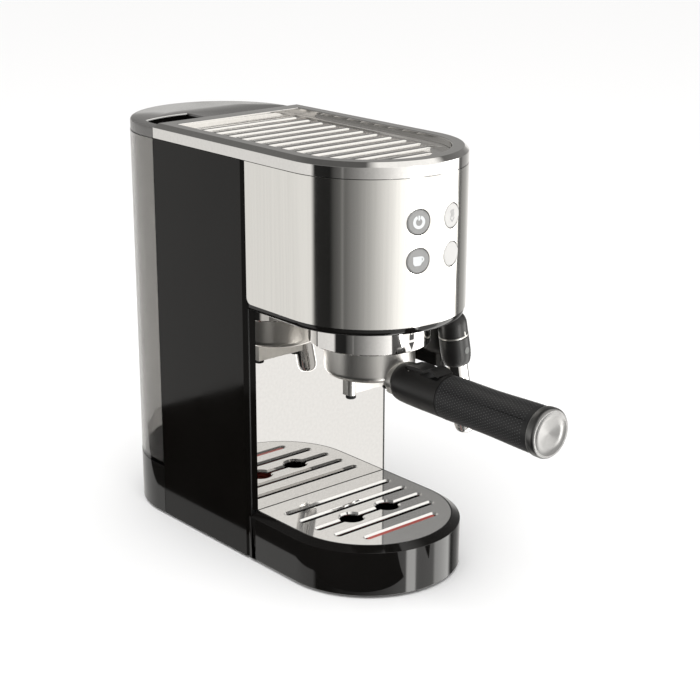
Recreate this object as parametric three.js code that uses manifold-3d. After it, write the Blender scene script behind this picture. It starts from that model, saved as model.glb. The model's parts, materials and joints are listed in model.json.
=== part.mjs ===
// Espresso machine, 140 mm wide: housing, rear water tank, drip tray, brewing group,
// portafilter, buttons and steam wand. Millimetres, +Z up, front towards -Y.
// The origin is on the surface it stands on, at the middle of its width and length.
import * as THREE from 'three';
import { mergeVertices } from 'three/addons/utils/BufferGeometryUtils.js';
import Module from 'manifold-3d';

const wasm = await Module();
wasm.setup();

// ---- driving dimensions ----
const BODY_RADIUS = 70;
const FRONT_Y = -33;
const SPLASH_Y = 20;
const BACK_Y = 134;
const TANK_Y = 144;
const GAP = 0.3;
const PANEL = 2.5;
const WALL_X = 63.4;

const BODY_BOTTOM = 2;
const BASE_TOP = 5;
const TRAY_SHOULDER = 36;
const GRID_TOP = 39.7;
const COLUMN_TOP = 197.7;
const SHELL_BOTTOM = 203.2;
const SHELL_TOP = 307.4;
const RIM_BOTTOM = 307.7;
const RIM_TOP = 319;
const RIM_BEVEL = 3.3;

const TANK_BOTTOM = 42.4;
const TANK_TOP = 307;
const TANK_WALL = 2.2;
const LID_TOP = 316;
const OUTLET_Y = 162;

const GROUP_Y = -34.5;
const RING_RADIUS = 44.9;
const RING_BOTTOM = 176.4;
const BOWL_RADIUS = 33.5;
const BOWL_BOTTOM = 151.2;
const BOWL_BEND = 5.5;
const NECK_RADIUS = 37.6;
const BOSS_END = -35.7;
const SPOUT_X = 18;
const SPOUT_RADIUS = 3.8;
const SPOUT_BORE = 2.2;
const TIP_BOTTOM = 133.8;
const TIP_TOP = 136.2;
const HANDLE_Z = 153.1;
const HANDLE_END = 179.5;

const BUTTON_X = 15.5;
const BUTTON_RADIUS = 8.75;
const BUTTON_HEIGHTS = { upper: 277, lower: 250 };

const WAND_X = 45.8;
const WAND_Y = -73;
const WAND_PIVOT_Z = 186.8;
const WAND_LEAN = THREE.MathUtils.degToRad(11);
const WAND_RADIUS = 10.9;
const WAND_BODY_BOTTOM = 156;
const FROTH_BOTTOM = 99;

const ARC_STEPS = 10;
const SLOT_STEPS = 3;
const ROUND = 28;
const SMALL_ROUND = 14;

// ---- materials ----
const material = (color, roughness, metalness) => (
  new THREE.MeshStandardMaterial({ color, roughness, metalness })
);
const steel = material(0xc8c6c0, 0.3, 1);
const chrome = material(0xdcdad6, 0.08, 1);
const mirrorSteel = material(0xe8e6e2, 0.04, 1);
const aluminium = material(0xa8a8a8, 0.45, 1);
const brass = material(0xb08d4f, 0.35, 1);
const glossBlack = material(0x15130f, 0.12, 0);
const mattBlack = material(0x1c1b1a, 0.6, 0);
const rubber = material(0x141414, 0.9, 0);
const smoke = material(0x6f6c68, 0.08, 0);
smoke.transparent = true;
smoke.opacity = 0.45;
const red = material(0xb25a50, 0.5, 0);
const greyButton = material(0x8f8f8d, 0.4, 0);
const paleButton = material(0xd2d0cc, 0.4, 0);
const whitePlastic = material(0xd8d6d0, 0.55, 0);
const boardGreen = material(0x2d5a3a, 0.6, 0);

// ---- solids: join, cut and finish ----
function toSolid(source) {
  if (source instanceof wasm.Manifold) return source;
  const bare = new THREE.BufferGeometry();
  bare.setAttribute('position', source.getAttribute('position').clone());
  if (source.index) bare.setIndex(source.index.clone());
  const merged = mergeVertices(bare);
  const vertProperties = Float32Array.from(merged.getAttribute('position').array);
  const triVerts = Uint32Array.from(merged.index.array);
  const result = new wasm.Manifold(new wasm.Mesh({ numProp: 3, vertProperties, triVerts }));
  if (result.volume() > 0) return result;
  for (let i = 0; i < triVerts.length; i += 3) {
    [triVerts[i], triVerts[i + 1]] = [triVerts[i + 1], triVerts[i]];
  }
  return new wasm.Manifold(new wasm.Mesh({ numProp: 3, vertProperties, triVerts }));
}

function join(...pieces) {
  return pieces.map(toSolid).reduce((whole, piece) => whole.add(piece));
}

function cut(body, ...tools) {
  return tools.map(toSolid).reduce((rest, tool) => rest.subtract(tool), toSolid(body));
}

function part(name, shape, look) {
  const mesh = toSolid(shape).getMesh();
  const geometry = new THREE.BufferGeometry();
  geometry.setAttribute('position', new THREE.BufferAttribute(mesh.vertProperties, 3));
  geometry.setIndex(new THREE.BufferAttribute(mesh.triVerts, 1));
  geometry.computeVertexNormals();
  const result = new THREE.Mesh(geometry, look);
  result.name = name;
  return result;
}

function group(position, ...children) {
  const result = new THREE.Group();
  result.position.set(...position);
  result.add(...children);
  return result;
}

// ---- basic shapes ----
function box(x0, x1, y0, y1, z0, z1) {
  const geometry = new THREE.BoxGeometry(x1 - x0, y1 - y0, z1 - z0);
  return geometry.translate((x0 + x1) / 2, (y0 + y1) / 2, (z0 + z1) / 2);
}

function prism(shape, z0, z1, curveSegments = ARC_STEPS) {
  const options = { depth: z1 - z0, bevelEnabled: false, curveSegments };
  return new THREE.ExtrudeGeometry(shape, options).translate(0, 0, z0);
}

function post(radius, z0, z1, x = 0, y = 0, sides = SMALL_ROUND) {
  const geometry = new THREE.CylinderGeometry(radius, radius, z1 - z0, sides);
  return geometry.rotateX(Math.PI / 2).translate(x, y, (z0 + z1) / 2);
}

function rodAlongY(radius, y0, y1, x, z, sides = SMALL_ROUND) {
  return new THREE.CylinderGeometry(radius, radius, y1 - y0, sides).translate(x, (y0 + y1) / 2, z);
}

function rodAlongX(radius, x0, x1, y, z, sides = SMALL_ROUND) {
  const geometry = new THREE.CylinderGeometry(radius, radius, x1 - x0, sides);
  return geometry.rotateZ(Math.PI / 2).translate((x0 + x1) / 2, y, z);
}

// A solid of revolution about Z; the profile is a list of [radius, height].
function turned(profile, sides = ROUND) {
  const points = profile.map(([radius, height]) => new THREE.Vector2(radius, height));
  if (profile[0][0] > 0) points.push(points[0].clone());
  return new THREE.LatheGeometry(points, sides).rotateX(Math.PI / 2);
}

// A prism along X; the profile is a list of [y, z].
function prismAlongX(profile, x0, x1) {
  const shape = new THREE.Shape(profile.map(([y, z]) => new THREE.Vector2(y, z)));
  const geometry = new THREE.ExtrudeGeometry(shape, { depth: x1 - x0, bevelEnabled: false });
  return geometry.rotateX(Math.PI / 2).rotateZ(Math.PI / 2).translate(x0, 0, 0);
}

// A solid whose outline changes evenly from one shape to another.
function loft(lower, upper, z0, z1) {
  const rings = [lower, upper].map((shape) => shape.getPoints(ARC_STEPS));
  const count = rings[0].length;
  const positions = [];
  rings.forEach((ring, level) => {
    ring.forEach((point) => positions.push(point.x, point.y, level ? z1 : z0));
  });
  const index = [];
  for (let i = 0; i < count; i += 1) {
    const next = (i + 1) % count;
    index.push(i, next, count + i, next, count + next, count + i);
  }
  THREE.ShapeUtils.triangulateShape(rings[0], []).forEach(([a, b, c]) => {
    index.push(a, c, b, count + a, count + b, count + c);
  });
  const geometry = new THREE.BufferGeometry();
  geometry.setAttribute('position', new THREE.Float32BufferAttribute(positions, 3));
  geometry.setIndex(index);
  return geometry;
}

function tube(points, radius, steps, sides) {
  const path = new THREE.CatmullRomCurve3(points.map((point) => new THREE.Vector3(...point)));
  const section = new THREE.Shape().absarc(0, 0, radius, 0, 2 * Math.PI);
  const options = { extrudePath: path, steps, curveSegments: sides / 2, bevelEnabled: false };
  return new THREE.ExtrudeGeometry(section, options);
}

// Straight sides and a half-round front end.
function frontOutline(halfWidth, rearY) {
  const shape = new THREE.Shape();
  shape.moveTo(halfWidth, rearY);
  shape.lineTo(-halfWidth, rearY);
  shape.lineTo(-halfWidth, FRONT_Y);
  shape.absarc(0, FRONT_Y, halfWidth, Math.PI, 2 * Math.PI);
  return shape;
}

// Straight sides and a half-round rear end.
function rearOutline(halfWidth, frontEdgeY) {
  const shape = new THREE.Shape();
  shape.moveTo(-halfWidth, frontEdgeY);
  shape.lineTo(halfWidth, frontEdgeY);
  shape.lineTo(halfWidth, TANK_Y);
  shape.absarc(0, TANK_Y, halfWidth, 0, Math.PI);
  return shape;
}

// A slot along X with round ends.
function slotOutline(halfLength, halfWidth, y) {
  const shape = new THREE.Shape();
  const endX = halfLength - halfWidth;
  shape.absarc(endX, y, halfWidth, -Math.PI / 2, Math.PI / 2);
  shape.absarc(-endX, y, halfWidth, Math.PI / 2, 1.5 * Math.PI);
  return shape;
}

// ---- housing: base, column, head and top ----
function makeBase() {
  const insideTray = BODY_RADIUS - 9;
  const insideColumn = BODY_RADIUS - 3.1;
  const plate = join(
    prism(frontOutline(insideTray, 30), BODY_BOTTOM, BASE_TOP),
    prism(rearOutline(insideColumn, 24.3), BODY_BOTTOM, BASE_TOP),
  );
  const feet = [];
  for (const [end, x, y] of [['front', 44, -52], ['rear', 46, 178]]) {
    for (const [side, sign] of [['left', -1], ['right', 1]]) {
      const disc = post(8, 0, BODY_BOTTOM - GAP, sign * x, y);
      feet.push(part(`foot_${end}_${side}`, disc, rubber));
    }
  }
  return group([0, 0, 0], part('base_plate', plate, mattBlack), ...feet);
}

function makeSidePanel(side, sign) {
  const outer = BODY_RADIUS;
  const inner = BODY_RADIUS - PANEL;
  const span = (a, b) => (sign > 0 ? [a, b] : [-b, -a]);
  const flangeBottom = GRID_TOP + 0.6;
  const panel = join(
    box(...span(inner, outer), 23, BACK_Y - 0.2, BODY_BOTTOM, SHELL_TOP),
    box(...span(inner, outer), 21, 24, flangeBottom, SHELL_TOP),
    box(...span(WALL_X, outer), SPLASH_Y, 22.4, flangeBottom, COLUMN_TOP),
  );
  return part(`side_panel_${side}`, panel, glossBlack);
}

function makeColumn() {
  const inner = BODY_RADIUS - PANEL - GAP;
  const bottom = BASE_TOP + GAP;
  const plateHalf = WALL_X - GAP;
  const frontWall = join(
    box(-inner, inner, 22.7, 25, bottom, COLUMN_TOP),
    box(-plateHalf, plateHalf, 21.5, 23, bottom, COLUMN_TOP),
  );
  const hoseHole = rodAlongY(6, BACK_Y - 5, BACK_Y, 0, 20);
  const rearPanel = cut(box(-inner, inner, BACK_Y - 2.7, BACK_Y - 0.2, bottom, TANK_TOP), hoseHole);
  const splash = box(-plateHalf, plateHalf, SPLASH_Y, SPLASH_Y + 1.2, TRAY_SHOULDER + 0.5, COLUMN_TOP);
  return group(
    [0, 0, 0],
    makeSidePanel('left', -1),
    makeSidePanel('right', 1),
    part('front_wall', frontWall, mattBlack),
    part('rear_panel', rearPanel, mattBlack),
    part('splash_plate', splash, mirrorSteel),
  );
}

function makeHeadBase() {
  const bottom = COLUMN_TOP + 0.5;
  const top = SHELL_BOTTOM - GAP;
  const floor = prism(frontOutline(BODY_RADIUS - 1, 19.7), bottom, top);
  const lip = cut(
    prism(frontOutline(BODY_RADIUS - 1.5, 19.7), top - 0.5, top + 4),
    prism(frontOutline(BODY_RADIUS - 3.5, 30), top - 1, top + 5),
  );
  const groupHole = post(43.2, bottom - 1, top + 1, 0, GROUP_Y, ROUND);
  const pipeHole = post(4, bottom - 1, top + 1, 55, -45);
  return part('head_base', cut(join(floor, lip), groupHole, pipeHole), glossBlack);
}

// Angle of a button's outward direction from the front, about Z.
const buttonAngle = Math.asin(BUTTON_X / BODY_RADIUS);

function buttonPlaced(geometry, sign, height) {
  return geometry.rotateX(Math.PI / 2).rotateZ(sign * buttonAngle).translate(0, FRONT_Y, height);
}

function makeHeadShell() {
  const rearY = SPLASH_Y + 0.7;
  const cornerRadius = 5;
  const wall = cut(
    prism(frontOutline(BODY_RADIUS, rearY), SHELL_BOTTOM, SHELL_TOP),
    prism(frontOutline(BODY_RADIUS - 1.1, rearY + 10), SHELL_BOTTOM - 1, SHELL_TOP + 1),
  );
  const holes = [];
  for (const sign of [-1, 1]) {
    for (const height of Object.values(BUTTON_HEIGHTS)) {
      holes.push(buttonPlaced(post(BUTTON_RADIUS + 0.35, 55, 80, 0, 0, 20), sign, height));
    }
  }
  const corner = [[rearY + 1, SHELL_BOTTOM - 1], [rearY + 1, SHELL_BOTTOM + cornerRadius]];
  for (let step = 0; step <= 6; step += 1) {
    const turn = (step / 6) * (Math.PI / 2);
    corner.push([
      rearY - cornerRadius + cornerRadius * Math.cos(turn),
      SHELL_BOTTOM + cornerRadius - cornerRadius * Math.sin(turn),
    ]);
  }
  corner.push([rearY - cornerRadius, SHELL_BOTTOM - 1]);
  const rounding = prismAlongX(corner, -80, 80);
  return part('head_shell', cut(wall, rounding, ...holes), steel);
}

function makeTop() {
  const deck = prism(frontOutline(BODY_RADIUS - 2.9, BACK_Y - 3), SHELL_TOP - 3.4, SHELL_TOP - 0.2);
  const rearY = BACK_Y - 0.2;
  const bevelBottom = RIM_TOP - RIM_BEVEL;
  const full = frontOutline(BODY_RADIUS, rearY);
  const rim = cut(
    join(
      prism(full, RIM_BOTTOM, bevelBottom),
      loft(full, frontOutline(BODY_RADIUS - RIM_BEVEL, rearY - RIM_BEVEL), bevelBottom, RIM_TOP),
    ),
    prism(frontOutline(58, 118), 309, RIM_TOP + 1),
    prism(frontOutline(52, 112), RIM_BOTTOM - 1, 310),
  );
  return group(
    [0, 0, 0],
    part('top_deck', deck, mattBlack),
    part('top_rim', rim, chrome),
    makeCupPlate(),
  );
}

function makeCupPlate() {
  const floorTop = 313;
  const ribCount = 12;
  const ribPitch = 15.8;
  const ribHeight = 1.9;
  const ribHalfLength = 46.5;
  let plate = toSolid(prism(frontOutline(57.7, 117.7), 309 + GAP, floorTop));
  for (let i = 0; i < ribCount; i += 1) {
    const y = 105 - i * ribPitch;
    const beyondArc = Math.min(0, y - 2 - FRONT_Y);
    const half = Math.sqrt(ribHalfLength ** 2 - beyondArc ** 2);
    const section = [[y - 1, floorTop - 0.5], [y - 1, floorTop + ribHeight], [y, floorTop + ribHeight]];
    section.push([y + 9, floorTop - 0.1], [y + 9, floorTop - 0.5]);
    plate = plate.add(toSolid(prismAlongX(section, -half, half)));
  }
  return part('cup_plate', plate, steel);
}

// ---- rear: dock, tank and lid ----
function makeDock() {
  const socketBottom = 30;
  const dockTop = TANK_BOTTOM - 0.4;
  const shell = cut(
    prism(rearOutline(BODY_RADIUS, BACK_Y + 0.2), BODY_BOTTOM, dockTop),
    prism(rearOutline(BODY_RADIUS - PANEL, BACK_Y + 3), BODY_BOTTOM - 1, dockTop - 2.5),
  );
  const socket = post(13, socketBottom, dockTop - 1, 0, OUTLET_Y, 20);
  const bore = post(10.4, socketBottom + 2, dockTop + 1, 0, OUTLET_Y, 20);
  const drain = post(2.5, socketBottom - 1, socketBottom + 3, 0, OUTLET_Y);
  const hoseHole = rodAlongY(6, BACK_Y, BACK_Y + 5, 0, 20);
  const glandHole = rodAlongY(6.8, 205, 216, 0, 16);
  const half = BODY_RADIUS - PANEL;
  const baseSlot = box(-half, half, BACK_Y, BACK_Y + 4, 0, BASE_TOP + GAP);
  const dock = cut(join(shell, socket), bore, drain, hoseHole, glandHole, baseSlot);
  const sealRing = turned([[8.5, 33], [10.1, 33], [10.1, 35], [8.5, 35]], 20);
  const gland = cut(
    join(rodAlongY(6.4, 207, 213.6, 0, 16), rodAlongY(8.5, 204.5, 207.2, 0, 16)),
    rodAlongY(3.6, 200, 220, 0, 16),
  );
  return group(
    [0, 0, 0],
    part('tank_dock', dock, glossBlack),
    group([0, OUTLET_Y, 0], part('dock_seal', sealRing, rubber)),
    part('cord_gland', gland, rubber),
  );
}

function makeTank() {
  const outer = BODY_RADIUS - 0.2;
  const frontEdge = BACK_Y + 0.3;
  const neckBottom = 35.3;
  const walls = prism(rearOutline(outer, frontEdge), TANK_BOTTOM, TANK_TOP);
  const hollow = prism(
    rearOutline(outer - TANK_WALL, frontEdge + TANK_WALL),
    TANK_BOTTOM + TANK_WALL,
    TANK_TOP + 1,
  );
  const neck = post(9.8, neckBottom, TANK_BOTTOM + 1, 0, OUTLET_Y, 20);
  const outlet = post(6, neckBottom - 1, TANK_BOTTOM + 3, 0, OUTLET_Y, 20);
  const tank = join(cut(walls, hollow), neck);
  const spiderBottom = 43.9;
  const spiderTop = TANK_BOTTOM + TANK_WALL;
  const spider = cut(
    box(-7, 7, OUTLET_Y - 1.2, OUTLET_Y + 1.2, spiderBottom, spiderTop),
    post(2, spiderBottom - 1, spiderTop + 1, 0, OUTLET_Y),
  );
  const seatZ = TANK_BOTTOM + TANK_WALL + GAP;
  const valve = turned([
    [0, 35.6], [4, 35.6], [4, 36.8], [1.6, 36.8], [1.6, seatZ], [8.5, seatZ],
    [7.5, seatZ + 2.2], [0, seatZ + 2.2],
  ], SMALL_ROUND);
  const coils = 4;
  const turnSteps = 8;
  const springRadius = 3.6;
  const spring = new THREE.CatmullRomCurve3();
  for (let i = 0; i <= coils * turnSteps; i += 1) {
    const turn = (i / turnSteps) * 2 * Math.PI;
    const height = 37.6 + (5.5 * i) / (coils * turnSteps);
    const across = springRadius * Math.cos(turn);
    const along = springRadius * Math.sin(turn);
    spring.points.push(new THREE.Vector3(across, along, height));
  }
  const wire = new THREE.Shape().absarc(0, 0, 0.45, 0, 2 * Math.PI);
  const steps = coils * turnSteps;
  const wireOptions = { extrudePath: spring, steps, curveSegments: 3, bevelEnabled: false };
  const springCoil = new THREE.ExtrudeGeometry(wire, wireOptions);
  return group(
    [0, 0, 0],
    part('water_tank', join(cut(tank, outlet), spider), smoke),
    group(
      [0, OUTLET_Y, 0],
      part('tank_valve', valve, whitePlastic),
      part('valve_spring', springCoil, steel),
    ),
    makeLid(),
  );
}

// The finger recess: a crescent on the left of the lid.
function recessOutline(margin) {
  const outerRadius = 60 + margin;
  const shape = new THREE.Shape();
  const right = -14 + margin;
  const near = BACK_Y + 6 - margin;
  const far = 168 + margin;
  shape.moveTo(right, near);
  shape.lineTo(right, far);
  shape.quadraticCurveTo(-36, far + 3, -Math.sqrt(outerRadius ** 2 - 18 ** 2), TANK_Y + 18);
  shape.lineTo(-outerRadius, TANK_Y);
  shape.lineTo(-outerRadius, near);
  return shape;
}

function makeLid() {
  const bottom = TANK_TOP + GAP;
  const skin = 2.4;
  const outer = BODY_RADIUS - 0.4;
  const frontEdge = BACK_Y + 0.4;
  const shell = cut(
    prism(rearOutline(outer, frontEdge), bottom, LID_TOP),
    prism(rearOutline(outer - skin, frontEdge + skin), bottom - 1, LID_TOP - skin),
  );
  const pocket = prism(recessOutline(2), bottom, LID_TOP - skin + 1);
  const hollow = prism(recessOutline(0), bottom + 1.6, LID_TOP + 1);
  return part('tank_lid', cut(join(shell, pocket), hollow), smoke);
}

// ---- drip tray, grid and float ----
const SLOTS = [
  { y: 0, half: 52 },
  { y: -17.8, half: 52 },
  { y: -35.6, half: 52 },
  { y: -53.4, half: 48 },
  { y: -71, half: 35 },
];
const CENTRE_SLOT_Y = -35.6;
const SLOT_HALF_WIDTH = 2.3;

function makeTray() {
  const inner = 61.5;
  const seatZ = 37.1;
  const seat = 63.5;
  const outline = frontOutline(BODY_RADIUS, 22.4);
  const body = join(
    prism(outline, BODY_BOTTOM, TRAY_SHOULDER),
    loft(frontOutline(BODY_RADIUS, 19.6), frontOutline(seat + 0.4, 19.6), TRAY_SHOULDER - 0.01, GRID_TOP),
  );
  const skirt = cut(
    prism(frontOutline(68, 16), BODY_BOTTOM - 1, 32),
    prism(frontOutline(inner + 2, 10), BODY_BOTTOM - 2, 33),
  );
  const tray = cut(
    body,
    box(-WALL_X - 0.4, WALL_X + 0.4, 19.6, 30, 0, GRID_TOP + 1),
    prism(frontOutline(inner, 17), 8, seatZ + 1),
    prism(frontOutline(seat, 19.3 + GAP), seatZ, GRID_TOP + 1),
    prism(frontOutline(BODY_RADIUS - 8.4, 40), 0, BASE_TOP + GAP),
    skirt,
  );
  return part('drip_tray', tray, glossBlack);
}

function makeGrid() {
  const plate = prism(frontOutline(63.1, 19.3), 37.1 + GAP, GRID_TOP);
  const cuts = SLOTS.map(({ y, half }) => (
    prism(slotOutline(half, SLOT_HALF_WIDTH, y), 30, GRID_TOP + 1, SLOT_STEPS)
  ));
  for (const sign of [-1, 1]) cuts.push(post(9, 30, GRID_TOP + 1, sign * 17.8, CENTRE_SLOT_Y, 16));
  return part('drip_grid', cut(plate, ...cuts), steel);
}

function makeFloat() {
  const y = SLOTS[4].y;
  const blade = prism(slotOutline(33, 1.7, y), 20, 38.6, SLOT_STEPS);
  const block = box(-30, 30, y - 6, y + 6, 10, 23);
  return part('drip_float', join(blade, block), red);
}

// ---- brewing group ----
const LUG_TURN = Math.PI / 4;

function makeBrewGroup() {
  const groove = 41.4;
  const lip = 38.3;
  const lipTop = 181.2;
  const ceiling = 192;
  const ring = turned([
    [RING_RADIUS - 1.8, RING_BOTTOM], [RING_RADIUS - 0.4, RING_BOTTOM], [RING_RADIUS, RING_BOTTOM + 0.5],
    [RING_RADIUS, COLUMN_TOP + 0.2], [RING_RADIUS - 1.8, COLUMN_TOP + 0.2],
  ], 36);
  let body = toSolid(turned([
    [lip, 177.4], [42.7, 177.4], [42.7, 206], [4, 206], [4, ceiling], [groove, ceiling],
    [groove, lipTop], [lip, lipTop],
  ]));
  for (const side of [0, Math.PI]) {
    const gate = box(lip - 3, groove - 0.1, -13, 13, 176, lipTop + 1).rotateZ(side - LUG_TURN);
    body = body.subtract(toSolid(gate));
  }
  const gasket = turned([[31, 187.6], [40.8, 187.6], [40.8, 191.7], [31, 191.7]]);
  const screen = turned([[3, 188.3], [28, 188.3], [30, 189.6], [30, 191.2], [3, 191.2]]);
  const screw = turned([[0, 186.6], [4.6, 186.6], [4.6, 188], [2.4, 188], [2.4, 204], [0, 204]], 16);
  return group(
    [0, GROUP_Y, 0],
    part('group_ring', ring, chrome),
    part('group_body', body, aluminium),
    part('group_gasket', gasket, rubber),
    part('shower_screen', screen, steel),
    part('screen_screw', screw, steel),
  );
}

// ---- portafilter: bowl, basket, spouts ----
function makeBowl() {
  const foot = BOWL_RADIUS - BOWL_BEND;
  const wall = 1.9;
  const innerNeck = NECK_RADIUS - 2;
  const flare = 178.4;
  const lugTop = 186.8;
  const profile = [[4, BOWL_BOTTOM], [foot, BOWL_BOTTOM]];
  const bendSteps = 4;
  for (let step = 1; step <= bendSteps; step += 1) {
    const turn = (step / bendSteps) * (Math.PI / 2);
    profile.push([foot + BOWL_BEND * Math.sin(turn), BOWL_BOTTOM + BOWL_BEND * (1 - Math.cos(turn))]);
  }
  profile.push([BOWL_RADIUS, flare - 1.8], [NECK_RADIUS, flare], [NECK_RADIUS, lugTop]);
  profile.push([innerNeck, lugTop], [innerNeck, flare + 1], [BOWL_RADIUS - wall, flare - 1]);
  profile.push([BOWL_RADIUS - wall, 158], [4, 157]);
  let bowl = toSolid(turned(profile, 32));
  for (const side of [0, Math.PI]) {
    const lug = box(NECK_RADIUS - 1, 39.6, -10, 10, 182, 186).rotateZ(side);
    bowl = bowl.add(toSolid(lug));
  }
  const boss = rodAlongY(12.2, BOSS_END, -29, 0, HANDLE_Z, 20);
  const threadHole = rodAlongY(3.4, BOSS_END - 1, -31.5, 0, HANDLE_Z);
  const inside = post(BOWL_RADIUS - wall, 158, flare, 0, 0, 32);
  return cut(bowl.add(toSolid(boss)), threadHole, inside);
}

function makeBasket() {
  return turned([
    [0, 160], [28, 160], [29.4, 161.4], [30.8, 178.6], [34.4, 180.6], [34.4, 187.1], [37.2, 187.1],
    [37.2, 187.5], [33.7, 187.5], [33.7, 181.2], [30.1, 179.2], [28.7, 161.8], [27.7, 160.8], [0, 160.8],
  ]);
}

function makeSpouts() {
  const top = BOWL_BOTTOM - GAP;
  const webRear = 4.6;
  const tubeBottom = TIP_TOP + GAP;
  const webEnd = SPOUT_X + SPOUT_RADIUS;
  const channel = 1.6;
  const channelZ = 146.5;
  const solids = [post(9, 147, top, 0, 0, 16), box(-webEnd, webEnd, 0, webRear, tubeBottom, top - 1)];
  const bores = [post(4, channelZ, top + 1), rodAlongX(channel, -SPOUT_X, SPOUT_X, webRear / 2, channelZ, 8)];
  for (const sign of [-1, 1]) {
    solids.push(post(SPOUT_RADIUS, tubeBottom, top - 1, sign * SPOUT_X, 0, 16));
    bores.push(post(SPOUT_BORE, tubeBottom - 1, 148, sign * SPOUT_X, 0, 10));
  }
  return cut(join(...solids), ...bores);
}

function makePortafilter() {
  const tips = [['left', -1], ['right', 1]].map(([side, sign]) => {
    const tip = turned([
      [SPOUT_BORE, TIP_BOTTOM], [SPOUT_RADIUS - 0.5, TIP_BOTTOM], [SPOUT_RADIUS, TIP_BOTTOM + 0.7],
      [SPOUT_RADIUS, TIP_TOP], [SPOUT_BORE, TIP_TOP],
    ], 16);
    return group([sign * SPOUT_X, 0, 0], part(`spout_tip_${side}`, tip, rubber));
  });
  return group(
    [0, GROUP_Y, 0],
    part('portafilter_bowl', makeBowl(), steel),
    part('filter_basket', makeBasket(), steel),
    part('spout_block', makeSpouts(), steel),
    ...tips,
    makeHandle(),
  );
}

// ---- handle: along its own +Z, with +Y as its upper side ----
const CLIP = { along: 51, up: 12, half: 7 };
const NOSE_START = 36;
const GRIP_START = 84.6;
const CAP_START = 171.9;

function makeHandle() {
  const pocket = CLIP.half + 0.4;
  const pocketStart = 45.6;
  const pocketEnd = GRIP_START - 3.6;
  const core = cut(
    turned([
      [4, NOSE_START], [12.4, NOSE_START], [13.5, 37], [14.3, 38.8], [14.8, 42], [15.1, 48], [15.4, 62],
      [15.5, GRIP_START - GAP], [12.5, GRIP_START - GAP], [12.5, CAP_START - 2 * GAP],
      [4, CAP_START - 2 * GAP],
    ]),
    box(-pocket, pocket, 13, 25, pocketStart, pocketEnd),
    box(-pocket, pocket, 8.6, 14, pocketStart, 54.8),
    box(-pocket, pocket, 9, 14, 63, pocketEnd),
    rodAlongX(1.2, -20, 20, CLIP.up, CLIP.along, 12),
  );
  const grip = turned([
    [12.8, GRIP_START], [15.4, GRIP_START], [15.6, GRIP_START + 0.8], [15.4, 120], [16.5, CAP_START - GAP],
    [12.8, CAP_START - GAP],
  ]);
  const cap = cut(
    turned([
      [0, CAP_START], [16.8, CAP_START], [17.5, CAP_START + 1.2], [17.5, HANDLE_END - 1.6],
      [16.2, HANDLE_END], [14.6, HANDLE_END - 0.4], [0, HANDLE_END - 2],
    ]),
    post(3.3, CAP_START - 1, CAP_START + 4),
  );
  const rod = post(3, 32, CAP_START + 3.5, 0, 0, 16);
  const clip = cut(
    join(
      rodAlongX(2.7, -CLIP.half, CLIP.half, CLIP.up, CLIP.along, 16),
      box(-CLIP.half, CLIP.half, CLIP.up, 15, CLIP.along - 2.5, CLIP.along + 2.5),
      prismAlongX([
        [13.4, 48], [14.8, 47.2], [15.5, 48.4], [15.7, 62], [16.4, 65], [18, 68.5], [18.2, 72], [17, 76.5],
        [15.2, 80.2], [13.8, 79.6], [15, 76], [15.8, 72], [15.5, 68.6], [14.2, 65.6], [13.4, 62],
      ], -CLIP.half, CLIP.half),
    ),
    rodAlongX(1.2, -20, 20, CLIP.up, CLIP.along, 12),
  );
  const pin = rodAlongX(0.9, -8.6, 8.6, CLIP.up, CLIP.along, 12);
  const handle = group(
    [0, 0, HANDLE_Z],
    part('handle_rod', rod, steel),
    part('handle_core', core, mattBlack),
    part('handle_grip', grip, rubber),
    part('handle_cap', cap, steel),
    part('filter_clip', clip, glossBlack),
    part('clip_pin', pin, steel),
  );
  handle.rotation.x = Math.PI / 2;
  return handle;
}

// ---- buttons and their board ----
function makeButtons() {
  const faceRadius = BODY_RADIUS + 0.2;
  const names = {
    '-1': { upper: 'button_power', lower: 'button_coffee' },
    1: { upper: 'button_steam', lower: 'button_water' },
  };
  const buttons = [];
  const board = [box(-26, 26, -88, -86.4, 240, 288)];
  for (const sign of [-1, 1]) {
    for (const [row, height] of Object.entries(BUTTON_HEIGHTS)) {
      const cap = turned([
        [0, faceRadius - 11], [2.5, faceRadius - 11], [2.5, faceRadius - 5], [BUTTON_RADIUS, faceRadius - 5],
        [BUTTON_RADIUS, faceRadius - 0.5], [BUTTON_RADIUS - 0.6, faceRadius], [0, faceRadius],
      ], 20);
      const shell = buttonPlaced(cap, sign, height);
      buttons.push(part(names[sign][row], shell, sign < 0 ? greyButton : paleButton));
      board.push(rodAlongY(3, -88.6, -87, sign * 13, height, 12));
    }
  }
  return group([0, 0, 0], ...buttons, part('control_board', join(...board), boardGreen));
}

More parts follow.
